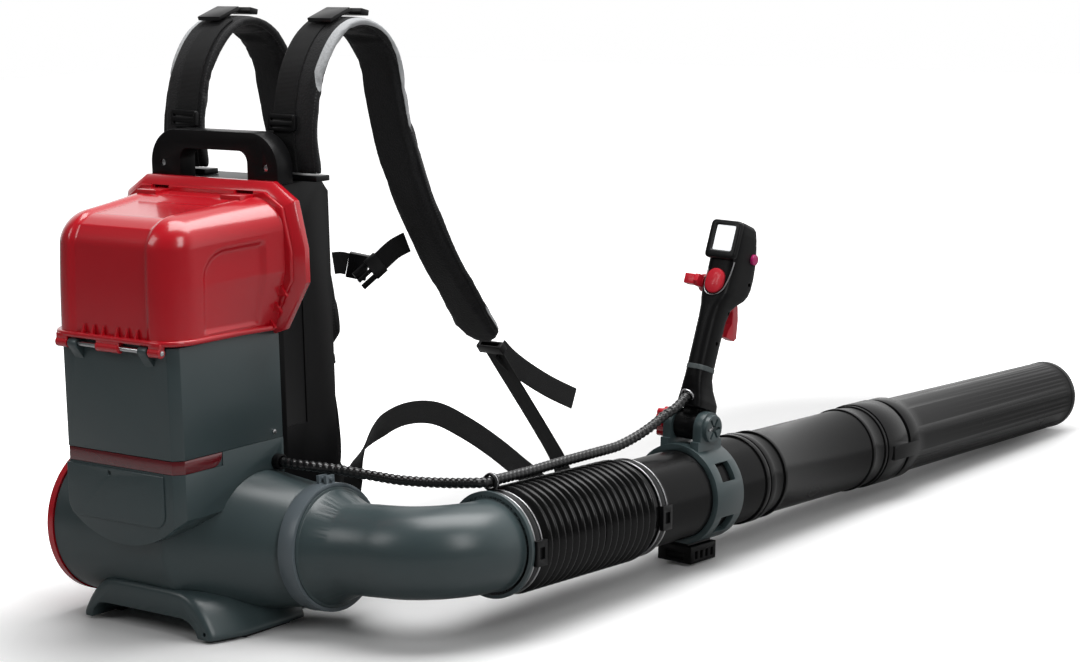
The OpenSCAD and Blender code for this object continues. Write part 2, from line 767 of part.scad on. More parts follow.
module clamp_frame() {
  tube_frame(clamp_s) rotate([0, clamp_lean, 0]) children();
}
module handle_clamp() {
  color([0.2, 0.24, 0.25]) clamp_frame() difference() {
    union() {
      y_rod(tube_r + 7, -clamp_l / 2, clamp_l / 2);
      for (s = [-1, 1]) translate([s * (ear_in + ear_out) / 2, 0, 0]) {
        translate([0, 0, pivot_h]) x_rod(18, -5.25, 5.25);
        slab(-5.25, 5.25, -18, 18, 40, pivot_h);
        slab(-5.25, 5.25, -22, 22, 40, 60);
      }
      translate([ear_out, 0, pivot_h]) x_rod(15, -1, 5);
    }
    y_rod(tube_r + run, -clamp_l, clamp_l);
    // Windows in the ring
    for (a = [58, 122, -58, -122]) rotate([0, a, 0]) slab(-11, 11, -12, 12, tube_r - 2, tube_r + 9);
    translate([0, 0, pivot_h]) x_rod(bolt_r + fit, -40, 40);
    // Socket of the cross head
    for (a = [0, 60, 120]) translate([ear_out + 2, 0, pivot_h]) rotate([a, 0, 0])
      slab(0, 5, -12, 12, -1.5, 1.5);
    slab(-16 - fit, 16 + fit, -30, 30, -tube_r - 32, -tube_r - 4);
  }
}

module clamp_block() {
  w = 22;
  low = -tube_r - 26.5;
  color([0.05, 0.05, 0.055]) clamp_frame() difference() {
    union() {
      slab(-w, w, -24, 24, low, -tube_r - 7 - fit);
      slab(-16, 16, -22, 22, -tube_r - 8, -tube_r - 4 - fit);
    }
    for (x = [-w - eps, w - 3]) for (y = [-16:10:14]) slab(x, x + 3 + eps, y, y + 5, low + 4, low + 13);
    slab(-12, 12, -24 - eps, -20, low + 4, low + 12);
  }
}

module tilt_bolt() {
  color([0.55, 0.55, 0.57]) pivot_frame() x_rod(bolt_r, -ear_out - 12, ear_out + 1.8);
}

module lock_knob() {
  color([0.7, 0.03, 0.06]) pivot_frame() difference() {
    union() {
      x_rod(14, knob_x - 14, knob_x - run);
      for (a = [0:60:300]) rotate([a, 0, 0]) translate([0, 13, 0]) x_rod(4, knob_x - 14, knob_x - 3);
    }
    x_rod(bolt_r + pin_fit, knob_x - 12 - 0.3, 0);
  }
}

// Outer form of the grip, in its own frame: d forwards, h along the grip
module grip_form(g) {
  hx = head_w / 2 - g;
  gx = grip_w / 2 - g;
  hull() {
    slab(-17 + g, 17 - g, -18 + g, 22 - g, 18.6 + g, 26);
    slab(0.5 - gx, gx - 0.5, grip_d - 15 + g, grip_d + 15 - g, 55, 58);
  }
  translate([0, grip_d, 55]) linear_extrude(100) {
    for (s = [-1, 1]) translate([0, s * 2]) circle(gx);
    translate([-gx, -2]) square([2 * gx, 4]);
  }
  along_x(-hx, hx) polygon([[-18 + g, 149 + g], [-12 + g, 140 + g], [8, 137 + g], [15 - g, 142 + g / 2],
    [27 - g, 154], [27 - g, 200], [21 - g, 221], [14 - g, 228 - g], [-18 + g, 228 - g]]);
}
module trigger_pivot() {
  translate([0, 16, 147]) children();
}
module grip_half(s) {
  seam = 0.05;
  grip_frame() difference() {
    union() {
      intersection() {
        grip_form(0);
        slab(s > 0 ? seam : -60, s > 0 ? 60 : -seam, -60, 60, 0, 240);
      }
      x_rod(15, s > 0 ? seam : -14, s > 0 ? 14 : -seam);
      slab(s > 0 ? seam : -9, s > 0 ? 9 : -seam, -9, 9, 13, 24);
    }
    // Hollow for the board and the trigger
    difference() {
      grip_form(2.5);
      slab(-30, 30, -60, 60, 0, 60);
      trigger_pivot() x_rod(5, -30, 30);
    }
    // Trigger slot, screen opening and button holes
    slab(-5.6, 5.6, 8, 60, 98, 154);
    slab(-17, 17, -25, -14, 188, 222);
    translate([0, -25, 159]) rotate([-90, 0, 0]) linear_extrude(14) oval(run);
    boost_place() x_rod(6 + run, -10, 20);
    trigger_pivot() x_rod(2 + pin_fit, -9, 9);
    x_rod(bolt_r + 0.06, -40, 40);
    translate([0, -14, 36]) rotate([-44, 0, 0]) translate([0, 0, -22]) cylinder(r = cord_r + fit, h = 34);
  }
}
module boost_place() {
  translate([head_w / 2, 16.5, 194]) children();
}
module oval(g) {
  for (s = [-1, 1]) translate([0, s * 3]) circle(11 + g);
  translate([-11 - g, -3]) square([22 + 2 * g, 6]);
}
module handle_left() {
  color([0.06, 0.06, 0.065]) grip_half(-1);
}
module handle_right() {
  color([0.06, 0.06, 0.065]) grip_half(1);
}

module handle_screen() {
  color([0.9, 0.93, 0.95]) grip_frame() {
    difference() {
      slab(-20, 20, -22.5, -18 - fit, 184, 226.5);
      slab(-16, 16, -24, -17, 188.5, 221.5);
    }
    slab(-16.6, 16.6, -18, -14.6, 188.4, 221.6);
  }
}

module handle_board() {
  color([0.1, 0.35, 0.18]) grip_frame() {
    slab(-head_w / 2 + 2.7, head_w / 2 - 2.7, -12, -10.4, 152, 222);
    slab(-7, 7, -10.4, -7, 170, 182);
  }
}

module trigger() {
  color([0.7, 0.05, 0.08]) grip_frame() {
    along_x(-5, 5) polygon([[10.5, 150], [20, 151], [29, 141], [35, 128], [40, 108], [36, 104], [20, 105],
      [21, 112], [25, 121], [22, 133], [11, 141]]);
    trigger_pivot() x_rod(2, -8.5, 8.5);
  }
}

module trigger_spring() {
  color([0.6, 0.6, 0.62]) grip_frame() translate([0, -10.2, 146]) rotate([-90, 0, 0]) {
    for (i = [0:6]) translate([0, 0, i * 3.1]) cylinder(r = 3, h = 1.2);
    cylinder(r = 1.2, h = 20);
  }
}

module cruise_lever() {
  color([0.7, 0.03, 0.06]) grip_frame() translate([-head_w / 2 - run, -4, 158]) {
    x_rod(10, -6, 0);
    along_x(-6, -1) polygon([[0, 7], [0, -7], [-16, -7], [-20, -2], [-18, 6]]);
    slab(-18, -5.9, -20, -10, -6, 5);
  }
}

module power_button() {
  color([0.75, 0.03, 0.06]) grip_frame()
    translate([0, -22.5, 159]) rotate([-90, 0, 0]) linear_extrude(6.5) oval(0);
}

module boost_button() {
  color([0.7, 0.02, 0.3]) grip_frame() boost_place() x_rod(6, -3, 3);
}

// --- control cable -------------------------------------------------------

module cable_gland() {
  color([0.1, 0.1, 0.1]) translate(gland) {
    x_rod(6, -6, 0);
    x_ring(gland_r, cord_r + fit, 0, 8);
  }
}

// Points on the tube's own frame, turned into the shared frame
function on_tube(x, s, z) =
  let (p = [elbow_run + elbow_r + x * cos(outlet_rise) + z * sin(outlet_rise), elbow_r + s,
      z * cos(outlet_rise) - x * sin(outlet_rise)],
    q = [p[0], p[1] * cos(tube_drop) + p[2] * sin(tube_drop), p[2] * cos(tube_drop) - p[1] * sin(tube_drop)])
  outlet + [q[0] * cos(outlet_rise) - q[2] * sin(outlet_rise), q[1],
    q[0] * sin(outlet_rise) + q[2] * cos(outlet_rise)];

// Points on the grip's own frame, turned into the shared frame
function on_grip(x, d, h) =
  let (t = tube_drop - grip_lean, y = d * cos(t) - h * sin(t), z = d * sin(t) + h * cos(t) + pivot_h)
  on_tube(x * cos(clamp_lean) + z * sin(clamp_lean), clamp_s + y,
    z * cos(clamp_lean) - x * sin(clamp_lean));

rear_end = 40;
mid_end = hose_l - 26;
joint_gap = 0.4;
module cable_rear() {
  color([0.04, 0.04, 0.04]) cord([gland + [0.6, 0, 0], gland + [10, 0, 0], gland + [22, 1, -0.4],
    [122, -34, 162], [148, -18, 158], [180, -4, 153], [210, 6, 150], [248, 22, 149],
    on_tube(tie_x - 8, 2, tie_z), on_tube(tie_x, tie_s, tie_z), on_tube(tie_x, tie_s + 10, tie_z + 1),
    on_tube(tie_x, rear_end, 61.5)], cord_r);
}
module cable_mid() {
  color([0.04, 0.04, 0.04]) cord([on_tube(tie_x, rear_end + joint_gap, 61.5),
    on_tube(-9, hose_l / 3, 62), on_tube(-10, hose_l / 2, 63), on_tube(-10, hose_l * 0.68, 64),
    on_tube(-10, mid_end, 65)], cord_r);
}
module cable_front() {
  color([0.04, 0.04, 0.04]) cord([on_tube(-10, mid_end + joint_gap, 65), on_tube(-10, hose_l - 8, 66),
    on_tube(-8, hose_l + 16, 71), on_tube(-5, hose_l + 40, 79), on_tube(-2, hose_l + 62, 89),
    on_grip(0, -37, 12), on_grip(0, -24, 25.7), on_grip(0, -13, 37)], cord_r);
}

// --- harness -------------------------------------------------------------

// The pads' heights are above the frame's top
function on_top(p) = [for (q = p) q + [0, 0, frame_h]];
pad_rise = [[79, 14, 7], [79, 11, 45], [79, 15, 80], [79, 27, 117], [79, 50, 145], [79, 82, 157],
  [79, 116, 147], [79, 139, 119], [79, 149, 80]];
right_fall = [[80, 157, 40], [80, 172, -5], [80, 193, -52], [80, 224, -103], [80, 262, -153],
  [80, 304, -207]];
left_fall = [[79, 160, 35], [79, 176, -15], [79, 186, -60], [79, 192, -110], [79, 197, -160],
  [79, 202, -217]];
module shoulder_pad(fall) {
  q = smooth(on_top(concat(pad_rise, fall)), 2);
  n = len(q);
  tip = [0.94, 0.45]; // width of the last two rings, as a share of the pad's
  sweep(q, [1, 0, 0], [for (i = [0:n - 1])
    let (k = i < n - 2 ? 1 : tip[i - n + 2])
    [for (a = [0:11]) let (c = cos(30 * a + 15), s = sin(30 * a + 15), kt = 0.55 + 0.45 * k)
      [k * pad_w / 2 * sign(c) * pow(abs(c), 0.45), kt * pad_t / 2 * sign(s) * pow(abs(s), 0.7)]]]);
}
module strap_pad_right() {
  color([0.08, 0.08, 0.085]) shoulder_pad(right_fall);
}
module strap_pad_left() {
  color([0.08, 0.08, 0.085]) mirror([1, 0, 0]) shoulder_pad(left_fall);
}

// Lower webbing, from the pads' buckles to the anchors on the frame's sides
right_loop = concat(on_top([[80, 313, -219], [80, 330, -241], [80, 362, -281]]), [[80, 400, 116],
  [79, 430, 77], [77, 444, 50], [77, 438, 33], [78, 416, 38], [81, 376, 66], [85, 310, 112],
  [89, 250, 148], [92, 195, 174], [93, 142, 181], [93, 98, 170], [93, 70, 146], [93, 59, 118],
  [93, 57, 96.4]]);
left_loop = concat(on_top([[79, 203.6, -227], [79, 208, -255], [80, 216, -299]]), [[82, 219, 100],
  [85, 206, 58], [88, 176, 32], [91, 136, 28], [93, 96, 40], [93, 68, 64], [93, 60, 83.2]]);
right_tail = concat(on_top([[84, 322, -221], [85, 340, -237], [87, 366, -255]]), [[89, 404, 168],
  [90, 448, 147]]);
chest_right = on_top([[46, 213, -89], [38, 200, -96], [30, 187, -108]]);
chest_left = on_top([[-45.3, 192.8, -116], [-38, 197, -115.4], [-32, 201, -117]]);
// The right loop stands on its edge along its arch: direction of its width at each ring
loop_turn = 85;
turn_rings = [18, 25, 38, 44]; // turned up between the first two rings, and down between the last two
function loop_flat(q) = [for (i = [0:len(q) - 1])
  let (up = (i - turn_rings[0]) / (turn_rings[1] - turn_rings[0]),
    down = (turn_rings[3] - i) / (turn_rings[3] - turn_rings[2]),
    a = loop_turn * max(0, min(1, up, down)))
  cos(a) * [1, 0, 0] + sin(a) * cross(heading(q, i), [1, 0, 0])];
right_edge = [0, -0.5, 0.86];
left_edge = [0, -0.12, 0.99];

module harness_webbing() {
  color([0.05, 0.05, 0.05]) {
    webbing(right_loop, 3, loop_flat(smooth(right_loop, 3)));
    webbing(right_tail, 3, [0, 7, 24]);
    mirror([1, 0, 0]) webbing(left_loop, 3);
    webbing(chest_right, 2, right_edge);
    webbing(chest_left, 2, left_edge);
  }
}

// A bar buckle with the webbing's slot through it
module ladder_lock() {
  difference() {
    slab(-17, 17, -5, 5, -1, 10);
    slab(-web_w / 2 - 0.5, web_w / 2 + 0.5, -2.2, 2.2, -3, 12);
  }
}
module strap_clips() {
  color([0.06, 0.06, 0.065]) {
    for (s = [0, 1]) mirror([s, 0, 0]) {
      // Anchor on the frame's top and loop for the lower webbing on its side
      slab(48, 110, 4, 24, frame_h + fit, frame_h + 6);
      slab(frame_x + fit, 108, 50, 66, 84, 96);
      // Load clips on the top of the pad
      translate([79, 66, frame_h + 163]) rotate([18, 0, 0]) slab(-16, 16, -16, 16, -0.6, 4);
      translate([79, 100, frame_h + 162.8]) rotate([-14, 0, 0]) slab(-18, 18, -6, 6, 0, 6);
    }
    translate([80, 309, frame_h - 214]) rotate([219, 0, 0]) ladder_lock();
    translate([-79, 203, frame_h - 223]) rotate([188, 0, 0]) ladder_lock();
  }
}

// A block on the end of a strap: from d0 to d1 past its last point, w wide, t thick, u off its middle
module strap_block(route, edge, d0, d1, w, t, u = 0) {
  n = len(route);
  way = unit(route[n - 1] - route[n - 2]);
  side = across(edge, way);
  sweep([for (d = [d0, d1]) route[n - 1] + d * way + u * side], edge,
    [for (i = [0, 1]) band_section(w, t)]);
}
module chest_buckle() {
  color([0.06, 0.06, 0.065]) {
    // Male half on the right strap: body and three prongs; female half on the left strap
    strap_block(chest_right, right_edge, 0.4, 15, 26, 6);
    for (u = [-9.5, 0, 9.5]) strap_block(chest_right, right_edge, 14, 33, u == 0 ? 3 : 5, 4, u);
    strap_block(chest_left, left_edge, 0.8, 23, 28, 8);
  }
}

back_frame();
harness_plate();
back_pad();
carry_handle();
cover_bezel();
upper_housing();
light_strip();
lower_housing();
fan_duct();
intake_guard();
base_skid();
rubber_feet();
outlet_clamp();
elbow();
hose_clamp_rear();
cable_gland();
motor_housing();
stator_core();
motor_bearings();
guide_vanes();
tail_cone();
controller();
battery_pack();
battery_terminals();
hinge_pin();
case_screws();
cable_rear();
strap_pad_right();
strap_pad_left();
strap_clips();
chest_buckle();
harness_webbing();
battery_cover();
cover_seal();
latch_left();
latch_right();
impeller();
motor_shaft();
rotor_magnets();
flex_hose();
cable_mid();
clamp_tube();
mid_tube();
hose_clamp_front();
nozzle_tube();
handle_clamp();
clamp_block();
tilt_bolt();
lock_knob();
handle_left();
handle_right();
handle_screen();
handle_board();
cable_front();
trigger();
trigger_spring();
cruise_lever();
power_button();
boost_button();
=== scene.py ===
import math

import bmesh
import bpy
import numpy as np
from mathutils import Matrix, Vector


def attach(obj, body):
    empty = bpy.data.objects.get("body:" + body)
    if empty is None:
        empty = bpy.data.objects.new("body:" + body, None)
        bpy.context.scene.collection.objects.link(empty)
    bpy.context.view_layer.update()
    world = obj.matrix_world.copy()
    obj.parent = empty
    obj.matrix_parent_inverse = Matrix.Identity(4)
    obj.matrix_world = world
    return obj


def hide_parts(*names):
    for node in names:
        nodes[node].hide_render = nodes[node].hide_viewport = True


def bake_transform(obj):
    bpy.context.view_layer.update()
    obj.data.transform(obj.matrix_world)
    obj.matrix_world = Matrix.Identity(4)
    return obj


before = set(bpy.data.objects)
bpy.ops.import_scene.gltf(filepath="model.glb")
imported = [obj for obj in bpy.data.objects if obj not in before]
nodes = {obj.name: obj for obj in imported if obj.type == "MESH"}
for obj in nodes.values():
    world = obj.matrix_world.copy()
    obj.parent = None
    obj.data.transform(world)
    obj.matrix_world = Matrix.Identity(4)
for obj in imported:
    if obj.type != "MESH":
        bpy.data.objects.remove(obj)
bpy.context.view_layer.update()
scene = bpy.context.scene
print("frame loaded:", len(nodes), "nodes")

# ---- camera, lamps, floor ----

cameraSet = {"azimuth": 38.1, "elevation": 9.5, "roll": -1.4, "focusPixels": 2572.4, "distance": 2.4314,
             "target": (0.394, 0, 0.318), "imageWide": 1080}


def makeCamera(c):
    az, el, roll = (math.radians(c[k]) for k in ("azimuth", "elevation", "roll"))
    right = Vector((math.cos(az), math.sin(az), 0))
    back = Vector((math.sin(az) * math.cos(el), -math.cos(az) * math.cos(el), math.sin(el)))
    up = back.cross(right)
    x = right * math.cos(roll) + up * math.sin(roll)
    y = up * math.cos(roll) - right * math.sin(roll)
    data = bpy.data.cameras.new("camera")
    data.sensor_fit = "HORIZONTAL"
    data.sensor_width = 36
    data.lens = c["focusPixels"] / c["imageWide"] * data.sensor_width
    camera = bpy.data.objects.new("camera", data)
    camera.matrix_world = Matrix.Translation(Vector(c["target"]) + back * c["distance"]) @ Matrix(
        (x, y, back)).transposed().to_4x4()
    scene.collection.objects.link(camera)
    scene.camera = camera


lampSet = {
    "keyPanel": {"at": (-1.4, -2.4, 2.2), "aim": (0.2, 0, 0.2), "size": (1.3, 1.3), "watts": 17},
    "sidePanel": {"at": (2.6, -0.9, 2.0), "aim": (0.2, 0.3, 0.2), "size": (0.8, 1.8), "watts": 25},
    "topPanel": {"at": (0.4, 0.5, 2.6), "aim": (0.2, 0.3, 0), "size": (1.6, 2.2), "watts": 70},
}
stageSet = {"worldStrength": 0.09, "backdrop": (-0.1, 0.5), "floorSize": 14.0, "clearFrom": 0.18, "clearTo": 0.5,
            "lift": (0.0, 1.0), "tubeLine": (-0.4, 0.75), "floorColour": (0.87, 0.87, 0.87, 1),
            "bounceColour": (0.4, 0.4, 0.4, 1)}


def makeLamps():
    for name, lamp in lampSet.items():
        data = bpy.data.lights.new(name, "AREA")
        data.shape = "RECTANGLE"
        data.size, data.size_y = lamp["size"]
        data.energy = lamp["watts"]
        panel = bpy.data.objects.new(name, data)
        panel.location = lamp["at"]
        panel.rotation_euler = (Vector(lamp["aim"]) - Vector(lamp["at"])).to_track_quat("-Z", "Y").to_euler()
        scene.collection.objects.link(panel)


def link(tree, a, aOut, b, bIn):
    tree.links.new(a.outputs[aOut], b.inputs[bIn])


def makeWorld():
    world = bpy.data.worlds.new("studio")
    scene.world = world
    world.use_nodes = True
    tree = world.node_tree
    back = tree.nodes["Background"]
    path = tree.nodes.new("ShaderNodeLightPath")
    both = tree.nodes.new("ShaderNodeMath")
    both.operation = "MAXIMUM"
    link(tree, path, "Is Camera Ray", both, 0)
    link(tree, path, "Is Transmission Ray", both, 1)
    # Glossy rays see the pale backdrop in front of the pack, and less light behind the camera
    place = tree.nodes.new("ShaderNodeTexCoord")
    parts = tree.nodes.new("ShaderNodeSeparateXYZ")
    wall = tree.nodes.new("ShaderNodeMapRange")
    wall.interpolation_type = "SMOOTHSTEP"
    wall.inputs["From Min"].default_value, wall.inputs["From Max"].default_value = stageSet["backdrop"]
    gloss = tree.nodes.new("ShaderNodeMath")
    gloss.operation = "MULTIPLY"
    seen = tree.nodes.new("ShaderNodeMath")
    seen.operation = "MAXIMUM"
    link(tree, place, "Generated", parts, 0)
    link(tree, parts, "Y", wall, "Value")
    link(tree, wall, "Result", gloss, 0)
    link(tree, path, "Is Glossy Ray", gloss, 1)
    link(tree, both, 0, seen, 0)
    link(tree, gloss, 0, seen, 1)
    level = tree.nodes.new("ShaderNodeMapRange")
    link(tree, seen, 0, level, "Value")
    level.inputs["To Min"].default_value = stageSet["worldStrength"]
    level.inputs["To Max"].default_value = 1
    back.inputs["Color"].default_value = (1, 1, 1, 1)
    link(tree, level, "Result", back, "Strength")


def makeFloor():
    # Real shading and shadow round the object, lifted to plain white further out for the camera alone
    s = stageSet
    bpy.ops.mesh.primitive_plane_add(size=s["floorSize"], location=(0.1, 0.3, -0.0005))
    floor = bpy.context.object
    floor.name = "studioFloor"
    material = bpy.data.materials.new("floorPaper")
    material.use_nodes = True
    tree = material.node_tree
    shader = tree.nodes["Principled BSDF"]
    shader.inputs["Roughness"].default_value = 0.55
    path = tree.nodes.new("ShaderNodeLightPath")
    # The floor throws back less light than the camera sees on it
    tone = tree.nodes.new("ShaderNodeMix")
    tone.data_type = "RGBA"
    tone.inputs[6].default_value, tone.inputs[7].default_value = s["bounceColour"], s["floorColour"]
    link(tree, path, "Is Camera Ray", tone, 0)
    link(tree, tone, 2, shader, "Base Color")
    white = tree.nodes.new("ShaderNodeEmission")
    both = tree.nodes.new("ShaderNodeAddShader")
    place = tree.nodes.new("ShaderNodeTexCoord")
    parts = tree.nodes.new("ShaderNodeSeparateXYZ")
    line = tree.nodes.new("ShaderNodeClamp")
    rest = tree.nodes.new("ShaderNodeMath")
    rest.operation = "SUBTRACT"
    flat = tree.nodes.new("ShaderNodeCombineXYZ")
    line.inputs["Min"].default_value, line.inputs["Max"].default_value = s["tubeLine"]
    link(tree, place, "Object", parts, 0)
    link(tree, parts, "Y", line, "Value")
    link(tree, parts, "Y", rest, 0)
    link(tree, line, "Result", rest, 1)
    link(tree, parts, "X", flat, "X")
    link(tree, rest, 0, flat, "Y")
    spread = tree.nodes.new("ShaderNodeVectorMath")
    spread.operation = "LENGTH"
    fade = tree.nodes.new("ShaderNodeMapRange")
    fade.interpolation_type = "SMOOTHSTEP"
    fade.inputs["From Min"].default_value = s["clearFrom"]
    fade.inputs["From Max"].default_value = s["clearTo"]
    fade.inputs["To Min"].default_value, fade.inputs["To Max"].default_value = s["lift"]
    seen = tree.nodes.new("ShaderNodeMath")
    seen.operation = "MULTIPLY"
    link(tree, flat, 0, spread, 0)
    link(tree, spread, "Value", fade, "Value")
    link(tree, fade, "Result", seen, 0)
    link(tree, path, "Is Camera Ray", seen, 1)
    link(tree, seen, 0, white, "Strength")
    link(tree, shader, 0, both, 0)
    link(tree, white, 0, both, 1)
    link(tree, both, 0, tree.nodes["Material Output"], 0)
    floor.data.materials.append(material)


makeCamera(cameraSet)
makeLamps()
makeWorld()
makeFloor()
scene.view_settings.view_transform = "Standard"
print("camera, lamps and floor made")

# ---- shared effects ----


def newGroup(name, ins, outs):
    group = bpy.data.node_groups.new(name, "ShaderNodeTree")
    for socket, kind, value in ins:
        made = group.interface.new_socket(name=socket, in_out="INPUT", socket_type=kind)
        made.default_value = value
    for socket, kind in outs:
        group.interface.new_socket(name=socket, in_out="OUTPUT", socket_type=kind)
    return group, group.nodes.new("NodeGroupInput"), group.nodes.new("NodeGroupOutput")


def maths(tree, operation, a, b=None, c=None):
    node = tree.nodes.new("ShaderNodeMath")
    node.operation = operation
    for slot, value in enumerate((a, b, c)):
        if value is None:
            continue
        if isinstance(value, (int, float)):
            node.inputs[slot].default_value = value
        else:
            tree.links.new(value, node.inputs[slot])
    return node.outputs[0]


def makeGrain():
    # Moulded grain: fine pits, and a slow drift of colour and gloss
    group, gin, gout = newGroup(
        "mouldedGrain",
        [("Colour", "NodeSocketColor", (0.5, 0.5, 0.5, 1)), ("Grain Size", "NodeSocketFloat", 900.0),
         ("Roughness", "NodeSocketFloat", 0.4), ("Drift", "NodeSocketFloat", 0.1)],
        [("Colour", "NodeSocketColor"), ("Roughness", "NodeSocketFloat"), ("Height", "NodeSocketFloat")])
    place = group.nodes.new("ShaderNodeTexCoord")
    pits = group.nodes.new("ShaderNodeTexNoise")
    pits.inputs["Detail"].default_value = 2
    link(group, place, "Object", pits, "Vector")
    link(group, gin, "Grain Size", pits, "Scale")
    slow = group.nodes.new("ShaderNodeTexNoise")
    slow.inputs["Scale"].default_value = 14
    slow.inputs["Detail"].default_value = 3
    link(group, place, "Object", slow, "Vector")
    amount = maths(group, "MULTIPLY_ADD", slow.outputs["Fac"], 2.0, -1.0)
    shift = maths(group, "MULTIPLY", amount, gin.outputs["Drift"])
    tone = group.nodes.new("ShaderNodeHueSaturation")
    group.links.new(maths(group, "ADD", shift, 1.0), tone.inputs["Value"])
    link(group, gin, "Colour", tone, "Color")
    link(group, tone, "Color", gout, "Colour")
    group.links.new(maths(group, "MULTIPLY_ADD", shift, 0.6, gin.outputs["Roughness"]), gout.inputs["Roughness"])
    link(group, pits, "Fac", gout, "Height")
    return group


def makeWeave():
    # Woven band: ribs across it and a twill over them, from the band's own u and v in metres. Its colour carries
    # painted shade and highlight: darker in the hollows of the weave and lighter on its crests, following the same
    # height as the bump
    group, gin, gout = newGroup(
        "wovenBand", [("Colour", "NodeSocketColor", (0.02, 0.02, 0.02, 1)), ("Pitch", "NodeSocketFloat", 0.0013)],
        [("Colour", "NodeSocketColor"), ("Height", "NodeSocketFloat")])
    place = group.nodes.new("ShaderNodeUVMap")
    parts = group.nodes.new("ShaderNodeSeparateXYZ")
    link(group, place, "UV", parts, "Vector")
    turn = maths(group, "DIVIDE", 6.28318, gin.outputs["Pitch"])
    across = maths(group, "MULTIPLY", parts.outputs["X"], turn)
    along = maths(group, "MULTIPLY", parts.outputs["Y"], turn)
    rib = maths(group, "SINE", along)
    twill = maths(group, "SINE", maths(group, "ADD", across, maths(group, "MULTIPLY", along, 0.5)))
    height = maths(group, "MULTIPLY_ADD", twill, 0.5, maths(group, "MULTIPLY", rib, 0.5))
    # painted shade and highlight: the colour value follows the weave height, darker in the hollows and lighter on the
    # crests
    level = maths(group, "MULTIPLY_ADD", height, 0.35, 1.0)
    tone = group.nodes.new("ShaderNodeHueSaturation")
    group.links.new(level, tone.inputs["Value"])
    link(group, gin, "Colour", tone, "Color")
    link(group, tone, "Color", gout, "Colour")
    group.links.new(height, gout.inputs["Height"])
    return group


def makeMeshCloth():
    # Knitted cloth of the pads: small open cells over a slow unevenness. Its colour carries painted shade at the cell
    # borders, where the bump is lowest, and drifts at random with the slow unevenness
    group, gin, gout = newGroup(
        "padCloth", [("Colour", "NodeSocketColor", (0.02, 0.02, 0.02, 1)), ("Cells", "NodeSocketFloat", 520.0)],
        [("Colour", "NodeSocketColor"), ("Roughness", "NodeSocketFloat"), ("Height", "NodeSocketFloat")])
    place = group.nodes.new("ShaderNodeTexCoord")
    cells = group.nodes.new("ShaderNodeTexVoronoi")
    cells.feature = "F1"
    link(group, place, "Object", cells, "Vector")
    link(group, gin, "Cells", cells, "Scale")
    slow = group.nodes.new("ShaderNodeTexNoise")
    slow.inputs["Scale"].default_value = 30
    link(group, place, "Object", slow, "Vector")
    # painted shade: the colour darkens towards each cell's border, following the bump height; the slow noise adds a
    # random tone
    level = maths(group, "MULTIPLY_ADD", slow.outputs["Fac"], 0.5, maths(group, "MULTIPLY_ADD", cells.outputs["Distance"], -0.7, 1.05))
    tone = group.nodes.new("ShaderNodeHueSaturation")
    group.links.new(level, tone.inputs["Value"])
    link(group, gin, "Colour", tone, "Color")
    link(group, tone, "Color", gout, "Colour")
    group.links.new(maths(group, "MULTIPLY_ADD", slow.outputs["Fac"], 0.2, 0.68), gout.inputs["Roughness"])
    group.links.new(maths(group, "SUBTRACT", 1.0, cells.outputs["Distance"]), gout.inputs["Height"])
    return group


grainGroup, weaveGroup, clothGroup = makeGrain(), makeWeave(), makeMeshCloth()

# ---- materials ----


def newMaterial(name, plain):
    material = bpy.data.materials.new(name)
    material.use_nodes = True
    shader = material.node_tree.nodes["Principled BSDF"]
    for socket, value in plain.items():
        shader.inputs[socket].default_value = value
    return material, material.node_tree, shader


def addBump(tree, shader, height, strength, depth):
    bump = tree.nodes.new("ShaderNodeBump")
    bump.inputs["Strength"].default_value = strength
    bump.inputs["Distance"].default_value = depth
    tree.links.new(height, bump.inputs["Height"])
    link(tree, bump, "Normal", shader, "Normal")


def plastic(name, colour, rough, grainSize=900, depth=0.00012, strength=0.35, drift=0.1, **plain):
    material, tree, shader = newMaterial(name, plain)
    grain = tree.nodes.new("ShaderNodeGroup")
    grain.node_tree = grainGroup
    grain.inputs["Colour"].default_value = (*colour, 1)
    grain.inputs["Grain Size"].default_value = grainSize
    grain.inputs["Roughness"].default_value = rough
    grain.inputs["Drift"].default_value = drift
    link(tree, grain, "Colour", shader, "Base Color")
    link(tree, grain, "Roughness", shader, "Roughness")
    addBump(tree, shader, grain.outputs["Height"], strength, depth)
    return material


def webbingCloth(name, colour):
    material, tree, shader = newMaterial(name, {"Roughness": 0.72, "Specular IOR Level": 0.25, "Sheen Weight": 0.05})
    weave = tree.nodes.new("ShaderNodeGroup")
    weave.node_tree = weaveGroup
    weave.inputs["Colour"].default_value = (*colour, 1)
    link(tree, weave, "Colour", shader, "Base Color")
    addBump(tree, shader, weave.outputs["Height"], 0.5, 0.0004)
    return material


def padCloth(name, colour, cells):
    material, tree, shader = newMaterial(name, {"Specular IOR Level": 0.3, "Sheen Weight": 0.1, "Sheen Roughness": 0.5})
    cloth = tree.nodes.new("ShaderNodeGroup")
    cloth.node_tree = clothGroup
    cloth.inputs["Colour"].default_value = (*colour, 1)
    cloth.inputs["Cells"].default_value = cells
    link(tree, cloth, "Colour", shader, "Base Color")
    link(tree, cloth, "Roughness", shader, "Roughness")
    addBump(tree, shader, cloth.outputs["Height"], 0.6, 0.0006)
    return material


